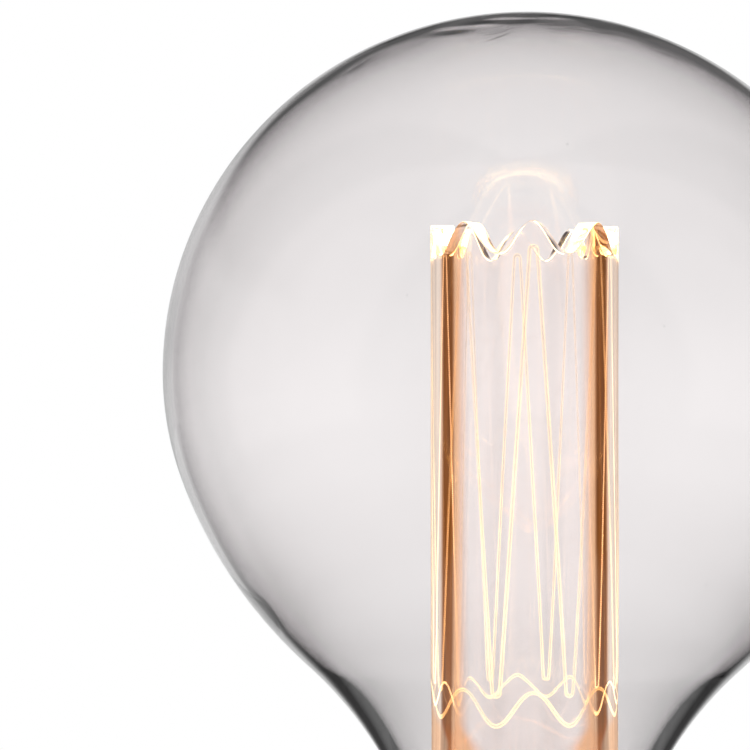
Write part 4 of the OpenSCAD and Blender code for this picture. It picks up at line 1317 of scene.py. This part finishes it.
class MakeDriver(Operator):
    """Driver with its sleeve, parts and leads"""

    bl_idname = "bulb.make_driver"
    bl_label = "Finish the driver"

    def execute(self, context):
        settings = context.scene.bulb_driver
        resin = plain_finish("Moulded resin", (0.022, 0.022, 0.024), (0.035, 0.034, 0.033), 0.55,
                             grain=5000.0)
        red = plain_finish("Red insulation", settings.red, (0.3, 0.02, 0.015), 0.5,
                           grain=3000.0, patch=400.0)
        black = plain_finish("Black insulation", (0.02, 0.02, 0.02), (0.045, 0.043, 0.04), 0.5,
                             grain=3000.0, patch=400.0)
        orange = plain_finish("Dipped resin", (0.5, 0.1, 0.02), (0.38, 0.06, 0.012), 0.22, grain=700.0,
                              depth=0.06 * MM, patch=500.0, coat_weight=0.6)
        ferrite = plain_finish("Sintered ferrite", (0.035, 0.034, 0.036), (0.06, 0.058, 0.06), 0.7,
                               spread=0.25, grain=7000.0, depth=0.04 * MM, patch=900.0)
        tinned = metal_finish("Tinned wire", (0.66, 0.66, 0.66), (0.5, 0.5, 0.49), 0.36,
                              patch=700.0, grain=5000.0)
        dress(resin, "bridge_rectifier", "driver_chip", "output_diode")
        dress(red, "live_lead", "positive_lead")
        dress(black, "negative_lead")
        dress(orange, "film_capacitor")
        dress(ferrite, "choke_core")
        dress(tinned, "neutral_lead")
        dress(moulded_white(), "driver_sleeve")
        dress(circuit_board(settings.board), "driver_board")
        dress(shrunk_sleeve(), "smoothing_capacitor")
        dress(wound_copper(), "choke_winding")
        dress(banded_lacquer(), "fuse_resistor")
        return {"FINISHED"}


class MakeCap(Operator):
    """Screw shell, insulator, contact and solder"""

    bl_idname = "bulb.make_cap"
    bl_label = "Make the screw cap"

    def execute(self, context):
        settings = context.scene.bulb_cap
        low = [channel * 0.78 for channel in settings.metal]
        plated = metal_finish("Nickel plate", settings.metal, low, 0.2, spacing=0.3 * MM,
                              depth=0.003 * MM, patch=120.0, patch_share=0.45, worn=(0.78, 0.66, 0.42),
                              line_share=0.35)
        glass = plain_finish("Cast black glass", (0.012, 0.012, 0.014), (0.02, 0.019, 0.02), 0.1,
                             grain=250.0, depth=0.12 * MM, patch=150.0, coat_weight=0.5)
        brass = metal_finish("Punched brass", (0.72, 0.5, 0.2), (0.45, 0.27, 0.1), 0.3, patch=350.0,
                             grain=2500.0, spacing=0.4 * MM, depth=0.006 * MM, worn=(0.86, 0.68, 0.36))
        piece("rolled_shell", rolled_shell(settings), [plated], ["screw_shell"], sharp=60.0)
        dress(glass, "cap_insulator")
        dress(brass, "centre_contact")
        dress(solder_finish(), "contact_solder")
        return {"FINISHED"}


OPERATORS = (MakeStage, MakeGlobe, MakeGuide, MakeHub, MakeLamps, MakeCollar, MakeDriver, MakeCap)
SETTINGS = {
    "bulb_stage": StageSettings,
    "bulb_globe": GlobeSettings,
    "bulb_guide": GuideSettings,
    "bulb_lamps": LampSettings,
    "bulb_collar": CollarSettings,
    "bulb_driver": DriverSettings,
    "bulb_cap": CapSettings,
}


class BulbPanel(Panel):
    """Sizes, colours and steps of the bulb"""

    bl_idname = "VIEW3D_PT_bulb"
    bl_label = "Globe bulb"
    bl_space_type = "VIEW_3D"
    bl_region_type = "UI"
    bl_category = "Bulb"

    def draw(self, context):
        for name in SETTINGS:
            box = self.layout.box()
            group = getattr(context.scene, name)
            for key in group.__annotations__:
                box.prop(group, key)
        for operator in OPERATORS:
            self.layout.operator(operator.bl_idname)


CLASSES = (*SETTINGS.values(), *OPERATORS, BulbPanel)


def register():
    for kind in CLASSES:
        bpy.utils.register_class(kind)
    for name, kind in SETTINGS.items():
        setattr(bpy.types.Scene, name, PointerProperty(type=kind))


def unregister():
    for name in SETTINGS:
        delattr(bpy.types.Scene, name)
    for kind in reversed(CLASSES):
        bpy.utils.unregister_class(kind)


def main():
    register()
    bpy.ops.bulb.make_stage()
    bpy.ops.bulb.make_globe()
    bpy.ops.bulb.make_guide()
    bpy.ops.bulb.make_hub()
    bpy.ops.bulb.make_lamps()
    bpy.ops.bulb.make_collar()
    bpy.ops.bulb.make_driver()
    bpy.ops.bulb.make_cap()


if __name__ == "__main__":
    main()
